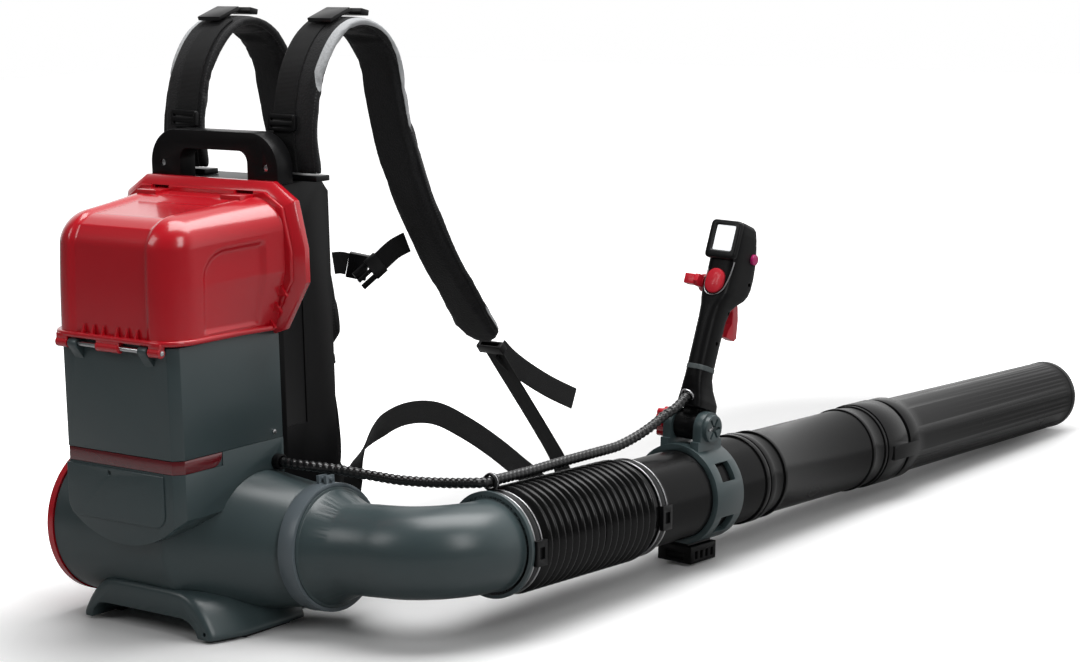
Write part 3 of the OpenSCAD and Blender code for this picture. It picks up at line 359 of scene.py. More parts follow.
finishes = {
    "red_gloss": plastic("redGloss", (0.56, 0.006, 0.016), 0.25, 160, 0.0002, 0.06, 0.05, **{"Coat Weight": 0.6, "Coat Roughness": 0.12}),
    "grey_shell": plastic("slateShell", (0.045, 0.067, 0.071), 0.33, 1500, 0.0001, 0.2, 0.08, **{"Specular IOR Level": 0.6}),
    "black_shell": plastic("blackShell", (0.005, 0.005, 0.0054), 0.36, 1500, 0.0001, 0.25, 0.15, **{"Specular IOR Level": 0.16}),
    "tube_black": plastic("tubeBlack", (0.005, 0.005, 0.0052), 0.24, 500, 0.0001, 0.08, 0.15, **{"Specular IOR Level": 0.2}),
    "hose_black": plastic("hoseBlack", (0.004, 0.004, 0.0042), 0.2, 400, 0.0001, 0.1, 0.2, **{"Specular IOR Level": 0.3}),
    "rubber_black": plastic("rubberBlack", (0.012, 0.012, 0.012), 0.75, 1200, 0.0002, 0.5, 0.15),
    "cable_black": plastic("cableBlack", (0.007, 0.007, 0.0075), 0.28, 500, 0.0001, 0.2, 0.2, **{"Coat Weight": 0.15}),
    "pad_fabric": padCloth("padFabric", (0.010, 0.010, 0.011), 520),
    "webbing_black": webbingCloth("webbingBlack", (0.006, 0.006, 0.0065)),
    "buckle_black": plastic("buckleBlack", (0.006, 0.006, 0.0065), 0.3, 1200, 0.0001, 0.2, 0.1, **{"Specular IOR Level": 0.25}),
    "lens_red": plastic("lensRed", (0.13, 0.006, 0.010), 0.16, 90, 0.0003, 0.1, 0.45, **{"Coat Weight": 1.0, "Coat Roughness": 0.08}),
    "steel": plastic("brightSteel", (0.55, 0.55, 0.56), 0.25, 700, 0.0001, 0.2, 0.08, Metallic=1.0),
    "motor_alloy": plastic("castAlloy", (0.42, 0.43, 0.45), 0.45, 500, 0.0003, 0.5, 0.1, Metallic=1.0),
    "winding_copper": plastic("copperWinding", (0.65, 0.28, 0.12), 0.35, 700, 0.0003, 0.5, 0.15, Metallic=1.0),
    "board_green": plastic("boardGreen", (0.02, 0.12, 0.05), 0.4, 700, 0.0001, 0.3, 0.3),
    "battery_black": plastic("batteryCase", (0.02, 0.02, 0.021), 0.5, 1000, 0.0002, 0.4, 0.15),
    "contact_brass": plastic("contactBrass", (0.72, 0.5, 0.2), 0.3, 700, 0.0001, 0.2, 0.1, Metallic=1.0),
    "screen_glass": plastic("litScreen", (0.80, 0.81, 0.82), 0.12, 60, 0.0001, 0.05, 0.03,
                            **{"Emission Color": (0.93, 0.95, 0.97, 1), "Emission Strength": 0.7}),
    "control_red": plastic("controlRed", (0.62, 0.014, 0.03), 0.32, 900, 0.0001, 0.2, 0.06, **{"Coat Weight": 0.3}),
    "button_magenta": plastic("buttonMagenta", (0.55, 0.01, 0.16), 0.3, 900, 0.0001, 0.2, 0.06, **{"Coat Weight": 0.3}),
}
pipingGrey = plastic("reflectivePiping", (0.42, 0.43, 0.44), 0.5, 1800, 0.0002, 0.5, 0.08)
paleClamp = plastic("paleClamp", (0.115, 0.14, 0.155), 0.36, 1500, 0.0001, 0.3, 0.06)
gripBand = plastic("gripBand", (0.075, 0.09, 0.092), 0.45, 1500, 0.0001, 0.3, 0.06)
chromeEdge = plastic("satinTrim", (0.45, 0.45, 0.46), 0.3, 900, 0.0001, 0.2, 0.06, Metallic=1.0)
print("materials made:", len(finishes) + 4)

# ---- mesh helpers, in millimetres ----


def shiftBy(x, y, z):
    return Matrix.Translation((x, y, z))


def turnX(degrees):
    return Matrix.Rotation(math.radians(degrees), 4, "X")


def turnY(degrees):
    return Matrix.Rotation(math.radians(degrees), 4, "Y")


air = {"fan": (0, -86, 93), "fanRadius": 79, "outlet": (150, -38, 83), "rise": 4, "drop": 2.2, "elbowRun": 86,
       "elbowRadius": 66, "tubeRadius": 48.5, "hoseLength": 238, "hoseRadius": 55, "cordRadius": 5.5}
outletFrame = shiftBy(*air["outlet"]) @ turnY(-air["rise"]) @ turnX(-air["drop"])


def tubeFrame(s):
    return outletFrame @ shiftBy(air["elbowRun"] + air["elbowRadius"], air["elbowRadius"] + s, 0) @ turnY(air["rise"])


clampFrame = tubeFrame(346) @ turnY(2)
pivotFrame = clampFrame @ shiftBy(0, 0, 73)
gripFrame = pivotFrame @ turnX(air["drop"] - 22)


def onTube(x, s, z):
    return tubeFrame(0) @ Vector((x, s, z))


def onGrip(x, d, h):
    return gripFrame @ Vector((x, d, h))


def newPiece(name, points, faces, place=None, uv=None):
    mesh = bpy.data.meshes.new(name)
    moved = [(place @ Vector(p) if place else Vector(p)) / 1000 for p in points]
    mesh.from_pydata(moved, [], faces)
    if uv:
        layer = mesh.uv_layers.new(name="UVMap")
        for loop in mesh.loops:
            u, v = uv[loop.vertex_index]
            layer.data[loop.index].uv = (u / 1000, v / 1000)
    tidy = bmesh.new()
    tidy.from_mesh(mesh)
    bmesh.ops.recalc_face_normals(tidy, faces=tidy.faces)
    tidy.to_mesh(mesh)
    tidy.free()
    piece = bpy.data.objects.new(name, mesh)
    scene.collection.objects.link(piece)
    return piece


def shadeByAngle(mesh, degrees=35):
    form = bmesh.new()
    form.from_mesh(mesh)
    for face in form.faces:
        face.smooth = True
    for edge in form.edges:
        sharp = len(edge.link_faces) == 2 and edge.calc_face_angle(0) > math.radians(degrees)
        edge.smooth = not sharp
    form.to_mesh(mesh)
    form.free()


def dress(piece, slot, body, replaced=(), material=None, angle=35):
    piece.data.materials.clear()
    piece.data.materials.append(material or finishes[slot])
    shadeByAngle(piece.data, angle)
    if body:
        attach(piece, body)
    if replaced:
        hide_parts(*replaced)
    return piece


def joinMeshes(name, pieces):
    form = bmesh.new()
    for piece in pieces:
        form.from_mesh(piece.data)
    mesh = bpy.data.meshes.new(name)
    form.to_mesh(mesh)
    form.free()
    for piece in pieces:
        bpy.data.objects.remove(piece)
    made = bpy.data.objects.new(name, mesh)
    scene.collection.objects.link(made)
    return made


def applyModifiers(piece):
    graph = bpy.context.evaluated_depsgraph_get()
    mesh = bpy.data.meshes.new_from_object(piece.evaluated_get(graph))
    piece.modifiers.clear()
    piece.data = mesh
    return piece


def bevelled(piece, width, segments=2, angle=35):
    edge = piece.modifiers.new("edges", "BEVEL")
    edge.width = width / 1000
    edge.segments = segments
    edge.limit_method = "ANGLE"
    edge.angle_limit = math.radians(angle)
    return applyModifiers(piece)


def cutAway(piece, cutter):
    cut = piece.modifiers.new("cut", "BOOLEAN")
    cut.operation = "DIFFERENCE"
    cut.solver = "EXACT"
    cut.object = cutter
    applyModifiers(piece)
    bpy.data.objects.remove(cutter)
    return piece


def skinFaces(rings, size, closedRing=True, caps=True, closedLoop=False):
    faces = []
    for i in range(rings if closedLoop else rings - 1):
        for j in range(size if closedRing else size - 1):
            a, b = i * size + j, i * size + (j + 1) % size
            c, d = (i + 1) % rings * size + (j + 1) % size, (i + 1) % rings * size + j
            faces.append((a, b, c, d))
    if caps and closedRing and not closedLoop:
        faces.append(tuple(range(size)))
        faces.append(tuple((rings - 1) * size + j for j in range(size)))
    return faces


def block(name, x, y, z, place=None):
    points = [(a, b, c) for a in x for b in y for c in z]
    faces = [(0, 1, 3, 2), (4, 6, 7, 5), (0, 4, 5, 1), (2, 3, 7, 6), (0, 2, 6, 4), (1, 5, 7, 3)]
    return newPiece(name, points, faces, place)


def extruded(name, outline, low, high, place=None):
    # An (a, b) outline drawn out along the third axis of its place
    size = len(outline)
    points = [(a, b, low) for a, b in outline] + [(a, b, high) for a, b in outline]
    return newPiece(name, points, skinFaces(2, size), place)


def turned(name, profile, place=None, steps=72, closed=False):
    # Profile of (radius, distance) turned round the place's z axis
    size = len(profile)
    points = []
    for i in range(steps):
        a = 2 * math.pi * i / steps
        points += [(r * math.cos(a), r * math.sin(a), d) for r, d in profile]
    faces = []
    for i in range(steps):
        n = (i + 1) % steps
        for j in range(size if closed else size - 1):
            k = (j + 1) % size
            faces.append((i * size + j, i * size + k, n * size + k, n * size + j))
    return newPiece(name, points, faces, place)


def smoothPath(points, n):
    out = []
    p = [Vector(q) for q in points]
    for i in range(len(p) - 1):
        a, b, c, d = p[max(i - 1, 0)], p[i], p[i + 1], p[min(i + 2, len(p) - 1)]
        for j in range(n):
            t = j / n
            out.append(0.5 * (2 * b + (c - a) * t + (2 * a - 5 * b + 4 * c - d) * t * t
                              + (3 * b - a - 3 * c + d) * t * t * t))
    return out + [p[-1]]


def headings(path):
    last = len(path) - 1
    return [(path[min(i + 1, last)] - path[max(i - 1, 0)]).normalized() for i in range(last + 1)]


def pathLengths(path):
    out = [0.0]
    for a, b in zip(path, path[1:]):
        out.append(out[-1] + (b - a).length)
    return out


def sweepAlong(name, path, flat, section, uvWide=None):
    # section(i, distance) gives (a, b) points: a along flat, b along the third axis
    ways, far = headings(path), pathLengths(path)
    points, uv, size = [], [], 0
    for i, at in enumerate(path):
        direction = flat[i] if isinstance(flat, list) else Vector(flat)
        side = (direction - direction.dot(ways[i]) * ways[i]).normalized()
        third = ways[i].cross(side)
        outline = section(i, far[i])
        size = len(outline)
        for a, b in outline:
            points.append(at + a * side + b * third)
            uv.append((a, far[i]))
    return newPiece(name, points, skinFaces(len(path), size), uv=uv)


def superOval(halfWide, halfDeep, power, count, turn=0.0):
    out = []
    for j in range(count):
        a = 2 * math.pi * j / count + turn
        c, s = math.cos(a), math.sin(a)
        out.append((halfWide * math.copysign(abs(c) ** (2 / power), c), halfDeep * math.copysign(abs(s) ** (2 / power), s)))
    return out


def ease(value, low, high):
    t = np.clip((value - low) / (high - low), 0, 1)
    return t * t * (3 - 2 * t)


# ---- finish of the nodes that stay as CAD made them ----


def makeSoftShade():
    # Geometry nodes: drop the imported custom normals, then shade smooth below an angle
    group = bpy.data.node_groups.new("softShade", "GeometryNodeTree")
    group.interface.new_socket(name="Geometry", in_out="INPUT", socket_type="NodeSocketGeometry")
    group.interface.new_socket(name="Geometry", in_out="OUTPUT", socket_type="NodeSocketGeometry")
    gin, gout = group.nodes.new("NodeGroupInput"), group.nodes.new("NodeGroupOutput")
    drop = group.nodes.new("GeometryNodeRemoveAttribute")
    drop.inputs["Name"].default_value = "custom_normal"
    smooth = group.nodes.new("GeometryNodeSetShadeSmooth")
    smooth.domain = "FACE"
    angle = group.nodes.new("GeometryNodeInputMeshEdgeAngle")
    steep = group.nodes.new("FunctionNodeCompare")
    steep.operation = "GREATER_THAN"
    steep.inputs["B"].default_value = math.radians(32)
    crease = group.nodes.new("GeometryNodeSetShadeSmooth")
    crease.domain = "EDGE"
    crease.inputs["Shade Smooth"].default_value = False
    link(group, gin, 0, drop, "Geometry")
    link(group, drop, "Geometry", smooth, "Geometry")
    link(group, smooth, "Geometry", crease, "Geometry")
    link(group, angle, "Unsigned Angle", steep, "A")
    link(group, steep, "Result", crease, "Selection")
    link(group, crease, "Geometry", gout, 0)
    return group


softShade = makeSoftShade()


def finishNode(name, slot, edge=0.6, material=None):
    node = nodes[name]
    node.data.materials.clear()
    node.data.materials.append(material or finishes[slot])
    weld = node.modifiers.new("weld", "WELD")
    weld.merge_threshold = 0.00001
    flat = node.modifiers.new("flat", "DECIMATE")
    flat.decimate_type = "DISSOLVE"
    flat.angle_limit = math.radians(0.6)
    if edge:
        bevel = node.modifiers.new("edges", "BEVEL")
        bevel.width = edge / 1000
        bevel.segments = 2
        bevel.limit_method = "ANGLE"
        bevel.angle_limit = math.radians(38)
    shade = node.modifiers.new("shade", "NODES")
    shade.node_group = softShade


nodeFinish = {
    "back_frame": ("black_shell", 1.2), "harness_plate": ("black_shell", 0.6), "carry_handle": ("black_shell", 2.0),
    "upper_housing": ("grey_shell", 0.8), "light_strip": ("lens_red", 0.5), "lower_housing": ("grey_shell", 0.6),
    "intake_guard": ("red_gloss", 0.7), "base_skid": ("grey_shell", 2.0), "rubber_feet": ("rubber_black", 0.8),
    "outlet_clamp": ("grey_shell", 0.6), "cable_gland": ("black_shell", 0.6), "motor_housing": ("motor_alloy", 0.6),
    "stator_core": ("winding_copper", 0.3), "motor_bearings": ("steel", 0.3), "guide_vanes": ("black_shell", 0.3),
    "tail_cone": ("black_shell", 0.5), "controller": ("board_green", 0.3), "battery_pack": ("battery_black", 1.5),
    "battery_terminals": ("contact_brass", 0.3), "hinge_pin": ("steel", 0.3), "case_screws": ("steel", 0.3),
    "strap_clips": ("buckle_black", 0.8), "chest_buckle": ("buckle_black", 0.8), "cover_seal": ("rubber_black", 0.3),
    "latch_left": ("red_gloss", 1.2), "latch_right": ("red_gloss", 1.2), "impeller": ("black_shell", 0.3),
    "motor_shaft": ("steel", 0.4), "rotor_magnets": ("motor_alloy", 0.4), "elbow": ("grey_shell", 0.6),
    "hose_clamp_rear": ("buckle_black", 0.5), "hose_clamp_front": ("buckle_black", 0.5),
    "clamp_tube": ("tube_black", 0.6), "mid_tube": ("tube_black", 0.6), "nozzle_tube": ("tube_black", 0.6),
    "handle_clamp": ("grey_shell", 0.8), "clamp_block": ("black_shell", 0.8), "tilt_bolt": ("steel", 0.4),
    "lock_knob": ("control_red", 1.0), "handle_board": ("board_green", 0.3),
    "trigger": ("control_red", 1.0), "trigger_spring": ("steel", 0.2), "cruise_lever": ("control_red", 1.2),
    "power_button": ("control_red", 1.5), "boost_button": ("button_magenta", 1.2),
}
for nodeName, (slotName, edgeWidth) in nodeFinish.items():
    finishNode(nodeName, slotName, edgeWidth, paleClamp if nodeName == "outlet_clamp" else None)
print("CAD nodes finished:", len(nodeFinish))

# ---- battery cover ----

lid = {"halfWide": 89.5, "rear": -184.5, "front": -46.3, "low": 301.4, "top": 435, "topRear": 423, "corner": 33,
       "frontHigh": 114, "frontLow": 93, "shoulder": 60, "wall": 2.6, "step": 2.2,
       "band": 54, "bandEdge": 4.5, "bandDepth": 3.6, "panelY": (-141, -72), "panelZ": (312, 394), "panelDepth": 2.6,
       "panelCorner": 26, "flange": (9, 25), "flangeY": (-49.6, -46.4), "latchAt": 60, "fins": ((97, 309), (104, 325), (111, 341)),
       "knuckles": ((-74, -58), (-16, 16), (58, 74)), "pin": (-185, 296), "rimBend": 31}


def samples(low, high, step, extra=()):
    return sorted(set(round(float(v), 3) for v in list(np.linspace(low, high, max(2, int((high - low) / step) + 1))) + list(extra)))


def lidPoint(x, y, z):
    c, r = lid, lid["corner"]
    qx, qy, qz = max(-c["halfWide"] + r, min(c["halfWide"] - r, x)), max(y, c["rear"] + r), min(z, c["top"] - r)
    away = Vector((x - qx, y - qy, z - qz))
    if away.length > 1e-6:
        away.normalize()
        x, y, z = (Vector((qx, qy, qz)) + away * r)
    inward = 0.0
    faceTop = ease(away.z, 0.4, 0.9)
    faceRear = ease(-away.y, 0.4, 0.9)
    faceSide = ease(abs(away.x), 0.6, 0.95)
    inBand = 1 - ease(abs(x), c["band"] - c["bandEdge"], c["band"] + c["bandEdge"])
    inward += c["bandDepth"] * inBand * max(faceTop * (1 - ease(y, -92, -66)), faceRear)
    # Flat panel on each side, its upper rear corner round
    bend = c["panelCorner"]
    back, up = c["panelY"][0] + bend - y, z - c["panelZ"][1] + bend
    inset = bend - math.hypot(max(back, 0), max(up, 0)) if max(back, up) > 0 else bend
    inPanel = ease(inset, -3, 3) * (1 - ease(y, c["panelY"][1] - 2, c["panelY"][1] + 2)) * ease(z, c["panelZ"][0] - 2, c["panelZ"][0] + 2)
    inward += c["panelDepth"] * inPanel * faceSide
    x, y, z = Vector((x, y, z)) - away * inward
    t = (y - c["rear"]) / (c["front"] - c["rear"])
    t = max(0.0, min(1.0, t))
    rise = (z - c["low"]) / (c["top"] - c["low"])
    frontWide = c["frontLow"] + (c["frontHigh"] - c["frontLow"]) * min(1.0, (z - c["low"]) / c["shoulder"])
    wide = (c["halfWide"] - 2.5 * rise) * (1 - t ** 1.7) + frontWide * t ** 1.7
    x *= wide / c["halfWide"]
    roof = c["topRear"] + (c["top"] - c["topRear"]) * t
    z = c["low"] + (z - c["low"]) * (roof - c["low"]) / (c["top"] - c["low"])
    y += 5 * max(rise, 0) ** 2 * (1 - t)
    return x, y, z


def makeLid():
    c = lid
    r = c["corner"]
    edgeX = [s * (c["band"] + d) for s in (-1, 1) for d in (-c["bandEdge"], 0, c["bandEdge"])]
    xs = samples(-c["halfWide"], c["halfWide"], c["step"], edgeX)
    ys = samples(c["rear"], c["front"], c["step"], [c["rear"] + r])
    zs = samples(c["low"], c["top"], c["step"], [c["top"] - r])
    keys, points, faces = {}, [], []

    def vertex(i, j, k):
        if (i, j, k) not in keys:
            keys[(i, j, k)] = len(points)
            points.append(lidPoint(xs[i], ys[j], zs[k]))
        return keys[(i, j, k)]

    lastX, lastY, lastZ = len(xs) - 1, len(ys) - 1, len(zs) - 1
    for j in range(lastY):
        for k in range(lastZ):
            for i in (0, lastX):
                faces.append((vertex(i, j, k), vertex(i, j + 1, k), vertex(i, j + 1, k + 1), vertex(i, j, k + 1)))
    for i in range(lastX):
        for k in range(lastZ):
            faces.append((vertex(i, 0, k), vertex(i + 1, 0, k), vertex(i + 1, 0, k + 1), vertex(i, 0, k + 1)))
        for j in range(lastY):
            faces.append((vertex(i, j, lastZ), vertex(i + 1, j, lastZ), vertex(i + 1, j + 1, lastZ), vertex(i, j + 1, lastZ)))
    shell = newPiece("lidShell", points, faces)
    thick = shell.modifiers.new("wall", "SOLIDIFY")
    thick.thickness = c["wall"] / 1000
    thick.offset = -1
    applyModifiers(shell)
    parts = [shell]

    # Bead round the lower edge
    def rim(name, out, high, radius, yEnd):
        x, rear, bend = c["halfWide"] + out, c["rear"] - out, c["rimBend"]
        path = [Vector((x + 7, yEnd, high)), Vector((x, -100, high)), Vector((x, rear + bend, high))]
        for a in range(10, 90, 10):
            path.append(Vector((x - bend + bend * math.cos(math.radians(a)), rear + bend - bend * math.sin(math.radians(a)), high)))
        path += [Vector((x - bend, rear, high)), Vector((0, rear, high))]
        path += [Vector((-p.x, p.y, p.z)) for p in reversed(path[:-1])]
        return sweepAlong(name, path, (0, 0, 1), lambda i, d: superOval(radius, radius * 1.1, 2.4, 16))

    parts.append(rim("rimLow", 0.8, c["low"] + 3.2, 2.9, -54))
    # Flange that closes against the bezel, with room for the two latches
    outer, inner = (insetOutline(bezelOutline(), amount) for amount in c["flange"])
    rings = [(outer, c["flangeY"][1]), (outer, c["flangeY"][0] + 1), (insetOutline(bezelOutline(), c["flange"][0] + 1), c["flangeY"][0]),
             (inner, c["flangeY"][0]), (inner, c["flangeY"][1])]
    flange = newPiece("lidFlange", [(x, y, z) for ring, y in rings for x, z in ring],
                      skinFaces(len(rings), len(outer), caps=False, closedLoop=True))
    cutAway(flange, block("belowLid", (-140, 140), (-60, -40), (250, c["low"])))
    for side in (-1, 1):
        cutAway(flange, block("latchGap", (side * c["latchAt"] - 13, side * c["latchAt"] + 13), (-60, -40), (427, 450)))
    parts.append(flange)
    pinY, pinZ = c["pin"]
    for x0, x1 in c["knuckles"]:
        wide = x1 - x0
        profile = [(2.56, 0), (4.4, 0), (5, 0.6), (5, wide - 0.6), (4.4, wide), (2.56, wide)]
        parts.append(turned("knuckle", profile, shiftBy(x0, pinY, pinZ) @ turnY(90), 32, closed=True))
        parts.append(bevelled(block("knuckleWeb", (x0, x1), (pinY - 3, c["rear"] + 4), (pinZ + 3, c["low"] + 4)), 1.0))
    # Small triangular ribs over the rear rim, and fins between the side and the flange
    for x in (-38, -24, -10, 10, 24, 38):
        parts.append(extruded("rib", [(c["rear"] + 3, c["low"] + 5), (c["rear"] - 1.6, c["low"] + 5), (c["rear"] + 2, c["low"] + 15)],
                              x - 1.2, x + 1.2, Matrix(((0, 0, 1, 0), (1, 0, 0, 0), (0, 1, 0, 0), (0, 0, 0, 1)))))
    upright = Matrix(((1, 0, 0, 0), (0, 0, 1, 0), (0, 1, 0, 0), (0, 0, 0, 1)))
    for side in (-1, 1):
        for number, (x, z) in enumerate(c["fins"]):
            y = c["front"] - 9 + 2 * number
            shape = [(side * (x - 9), z - 4), (side * (x + 6), z - 4), (side * (x - 9), z + 15)]
            parts.append(extruded("fin", shape, y - 1.2, y + 1.2, upright))
    return dress(joinMeshes("coverShell", parts), "red_gloss", "cover", ["battery_cover"], angle=40)


bezel = {"half": ((90, 449), (119, 431), (130, 384), (130, 350), (98, 300), (74, 291)), "back": -46, "front": -31.2,
         "bevel": 9, "inner": 15.5, "low": 300.3}


def bezelOutline():
    outline = [(-x, z) for x, z in bezel["half"]] + [(x, z) for x, z in reversed(bezel["half"])]
    if sum((outline[i - 1][0] * p[1] - p[0] * outline[i - 1][1]) for i, p in enumerate(outline)) < 0:
        outline = outline[::-1]
    return outline


def insetOutline(points, amount):
    # Moves each side of a closed convex outline inwards
    count = len(points)
    out = []
    for i in range(count):
        a, b, c = Vector(points[i - 1]), Vector(points[i]), Vector(points[(i + 1) % count])
        n1, n2 = (b - a).normalized(), (c - b).normalized()
        n1, n2 = Vector((-n1.y, n1.x)), Vector((-n2.y, n2.x))
        middle = (n1 + n2).normalized()
        out.append(b + middle * amount / max(0.3, middle.dot(n1)))
    return [(p.x, p.y) for p in out]


def makeBezel():
    c = bezel
    outline = bezelOutline()
    rings = [(insetOutline(outline, c["inner"]), c["front"]), (outline, c["front"]), (outline, c["back"] + 8),
             (insetOutline(outline, 1.2), c["back"] + 6), (insetOutline(outline, c["bevel"]), c["back"]),
             (insetOutline(outline, c["inner"]), c["back"])]
    size = len(outline)
    points = [(x, y, z) for ring, y in rings for x, z in ring]
    rim = newPiece("bezelRim", points, skinFaces(len(rings), size, caps=False, closedLoop=True))
    cutAway(rim, block("gap", (-84.3, 84.3), (-60, -20), (200, c["low"])))
    for side in (-1, 1):
        cutAway(rim, block("pocket", (side * 60 - 11, side * 60 + 11), (-47, -42), (433, 438.5)))
    bevelled(rim, 1.0)
    return dress(rim, "red_gloss", "pack", ["cover_bezel"], angle=30)


makeLid()
makeBezel()
print("battery cover and bezel made")

# ---- fan duct ----

duct = {"left": -120, "right": 40, "collar": 61, "collarStart": -16, "wall": 3.5, "rings": 26, "sides": 96}


def ductSkin(name, grow=0.0, caps=False):
    c = duct
    fan = Vector(air["fan"])
    start = fan + Vector((c["right"], 0, 0))
    end = outletFrame @ Vector((c["collarStart"], 0, 0))
    endWay = (outletFrame.to_3x3() @ Vector((1, 0, 0))).normalized()
    rings = [(fan + Vector((c["left"], 0, 0)), Vector((1, 0, 0)), air["fanRadius"] - 1.2),
             (fan + Vector((c["left"] + 1.2, 0, 0)), Vector((1, 0, 0)), air["fanRadius"])]
    rings += [(fan + Vector((x, 0, 0)), Vector((1, 0, 0)), air["fanRadius"]) for x in (-90, -40, 0, 24, 36)]
    for i in range(c["rings"] + 1):
        t = i / c["rings"]
        w = t + 0.06 * math.sin(2 * math.pi * (t - 0.5))
        rings.append((start.lerp(end, w if 0 < i < c["rings"] else t), Vector((1, 0, 0)).lerp(endWay, t).normalized(),
                      air["fanRadius"] + (c["collar"] - air["fanRadius"]) * w))
    rings.append((outletFrame @ Vector((-8, 0, 0)), endWay, c["collar"]))
    rings.append((outletFrame @ Vector((0, 0, 0)), endWay, c["collar"]))
    points = []
    for middle, way, radius in rings:
        side = Vector((0, 1, 0))
        side = (side - side.dot(way) * way).normalized()
        third = way.cross(side)
        for j in range(c["sides"]):
            a = 2 * math.pi * j / c["sides"]
            points.append(middle + (radius + grow) * (math.cos(a) * side + math.sin(a) * third))
    return newPiece(name, points, skinFaces(len(rings), c["sides"], caps=caps))


def makeDuct():
    shell = ductSkin("ductShell")
    thick = shell.modifiers.new("wall", "SOLIDIFY")
    thick.thickness = duct["wall"] / 1000
    thick.offset = -1
    applyModifiers(shell)
    return dress(shell, "grey_shell", "pack", ["fan_duct"])


makeDuct()

skid = {"low": 3, "half": ((0, 3), (0, 8), (-6, 19), (-15, 31), (-25, 40), (-37, 46), (-50, 48), (-70, 48.4)),
        # y, half width of the feet, drop of the top
        "rings": ((-155, 87, 6), (-154, 90, 2.6), (-151.5, 92, 0.8), (-147, 94, 0), (-118, 104, 0), (-60, 106, 0), (-36, 106, 0)),
        "arch": ((-80, 2), (-77, 12), (-69, 19), (-60, 21), (52, 21), (62, 18), (70, 11), (74, 2)), "archEnd": -104,
        "under": (-74, 68, 10), "screw": (83, 9, 2.2)}


def makeSkid():
    # Saddle under the fan: domed section, open arch between its feet
    c = skid
    points, size = [], 0
    for y, foot, drop in c["rings"]:
        half = [(p.x, p.y) for p in smoothPath([(foot + a, z, 0) for a, z in c["half"]], 4)]
        half = [(x, c["low"] + (z - c["low"]) * (1 - drop / 45)) for x, z in half]
        outline = half + [(-x, z) for x, z in reversed(half)]
        size = len(outline)
        points += [(x, y, z) for x, z in outline]
    saddle = newPiece("skidSaddle", points, skinFaces(len(c["rings"]), size))
    upright = Matrix(((1, 0, 0, 0), (0, 0, 1, 0), (0, 1, 0, 0), (0, 0, 0, 1)))
    x0, x1, high = c["under"]
    cutAway(saddle, extruded("arch", c["arch"], -170, c["archEnd"], upright))
    cutAway(saddle, block("under", (x0, x1), (-170, -20), (0, high)))
    cutAway(saddle, ductSkin("ductRoom", 0.15, caps=True))
    x, z, r = c["screw"]
    cutAway(saddle, turned("screwHole", [(0, 0), (r, 0), (r, 12), (0, 12)], shiftBy(x, -145, z) @ turnX(90), 20))
    bevelled(saddle, 0.8, 2, 40)
    dress(saddle, "grey_shell", "pack", ["base_skid"], angle=40)


makeSkid()

panel = {"x": (-76, 62), "z": (118, 172), "corner": 15, "proud": 2.4, "rear": -179, "bevel": 2.0, "hole": (-14, 167)}


def makeRearPanel():
    # Raised field on the rear of the lower housing, with the pin hole under the light strip
    c = panel
    (x0, x1), (z0, z1), r = c["x"], c["z"], c["corner"]
    outline = [(x0, z1), (x1, z1)]
    outline += [(x1 - r + r * math.cos(math.radians(a)), z0 + r - r * math.sin(math.radians(a))) for a in range(0, 91, 10)]
    outline += [(x0 + r - r * math.sin(math.radians(a)), z0 + r - r * math.cos(math.radians(a))) for a in range(0, 91, 10)]
    upright = Matrix(((1, 0, 0, 0), (0, 0, 1, 0), (0, 1, 0, 0), (0, 0, 0, 1)))
    field = extruded("rearPanel", outline, c["rear"] - c["proud"], c["rear"] + 0.5, upright)
    hole = turned("pinHole", [(0, 0), (2.2, 0), (2.2, 4), (0, 4)], shiftBy(c["hole"][0], c["rear"] + 0.2, c["hole"][1]) @ turnX(90), 24)
    cutAway(field, hole)
    bevelled(field, c["bevel"], 3)
    dress(field, "grey_shell", "pack")


makeRearPanel()

strip = {"half": ((82.6, -118), (82.6, -169.6), (73.6, -178.6), (0, -178.6)), "z": (174, 187.5), "round": 13,
         "lens": (2.1, 0), "seat": (2.6, 0.7)}


def makeStrip():
    # Lens that wraps the rear, its ends rounded below; a slate seat fills the corners that it leaves
    c = strip
    half = [Vector((x, y, 0)) for x, y in c["half"]]
    corners = half + [Vector((-p.x, p.y, 0)) for p in reversed(half[:-1])]
    low, high = c["z"]

    def wrap(name, rounding, deep, proud):
        turns = pathLengths(corners)
        total = turns[-1]
        steps = [k * c["round"] / 10 for k in range(11)]
        stops = sorted(set(turns + steps + [total - s for s in steps]))
        stops = [s for k, s in enumerate(stops) if k == 0 or s - stops[k - 1] > 0.01]
        points = []
        for far in stops:
            i = max(k for k in range(len(corners) - 1) if turns[k] <= far + 1e-6)
            at = corners[i].lerp(corners[i + 1], (far - turns[i]) / (turns[i + 1] - turns[i]))
            before = (corners[i + 1] - corners[i]).normalized()
            after = before if abs(far - turns[i]) > 1e-6 or i == 0 else (corners[i] - corners[i - 1]).normalized()
            way = (before + after).normalized()
            out = Vector((-way.y, way.x, 0)) / max(0.5, way.dot(before))
            if out.dot(at - Vector((0, -90, 0))) < 0:
                out = -out
            edge = min(far, total - far) / c["round"]
            foot = low + (high - low - 1) * (1 - math.sqrt(1 - (1 - min(1, edge)) ** 2)) if rounding else low
            for a, z in ((-deep, foot), (-proud, foot), (-proud, high), (-deep, high)):
                p = at + out * a
                points.append((p.x, p.y, z))
        return newPiece(name, points, skinFaces(len(stops), 4))

    dress(bevelled(wrap("stripLens", True, *c["lens"]), 0.4, 2, 40), "lens_red", "pack", ["light_strip"], angle=30)
    dress(wrap("stripSeat", False, *c["seat"]), "grey_shell", "pack", angle=30)


makeStrip()
print("fan duct, light strip and rear panel made")

# ---- ribbed hose, in two lengths that meet between its two bends ----

hose = {"ribs": 17, "start": 5.3, "cuff": 24, "cuffRadius": 50, "bore": 47.3, "split": 119, "sides": 96,
        "bendA": (30, 90), "bendB": (150, 208)}


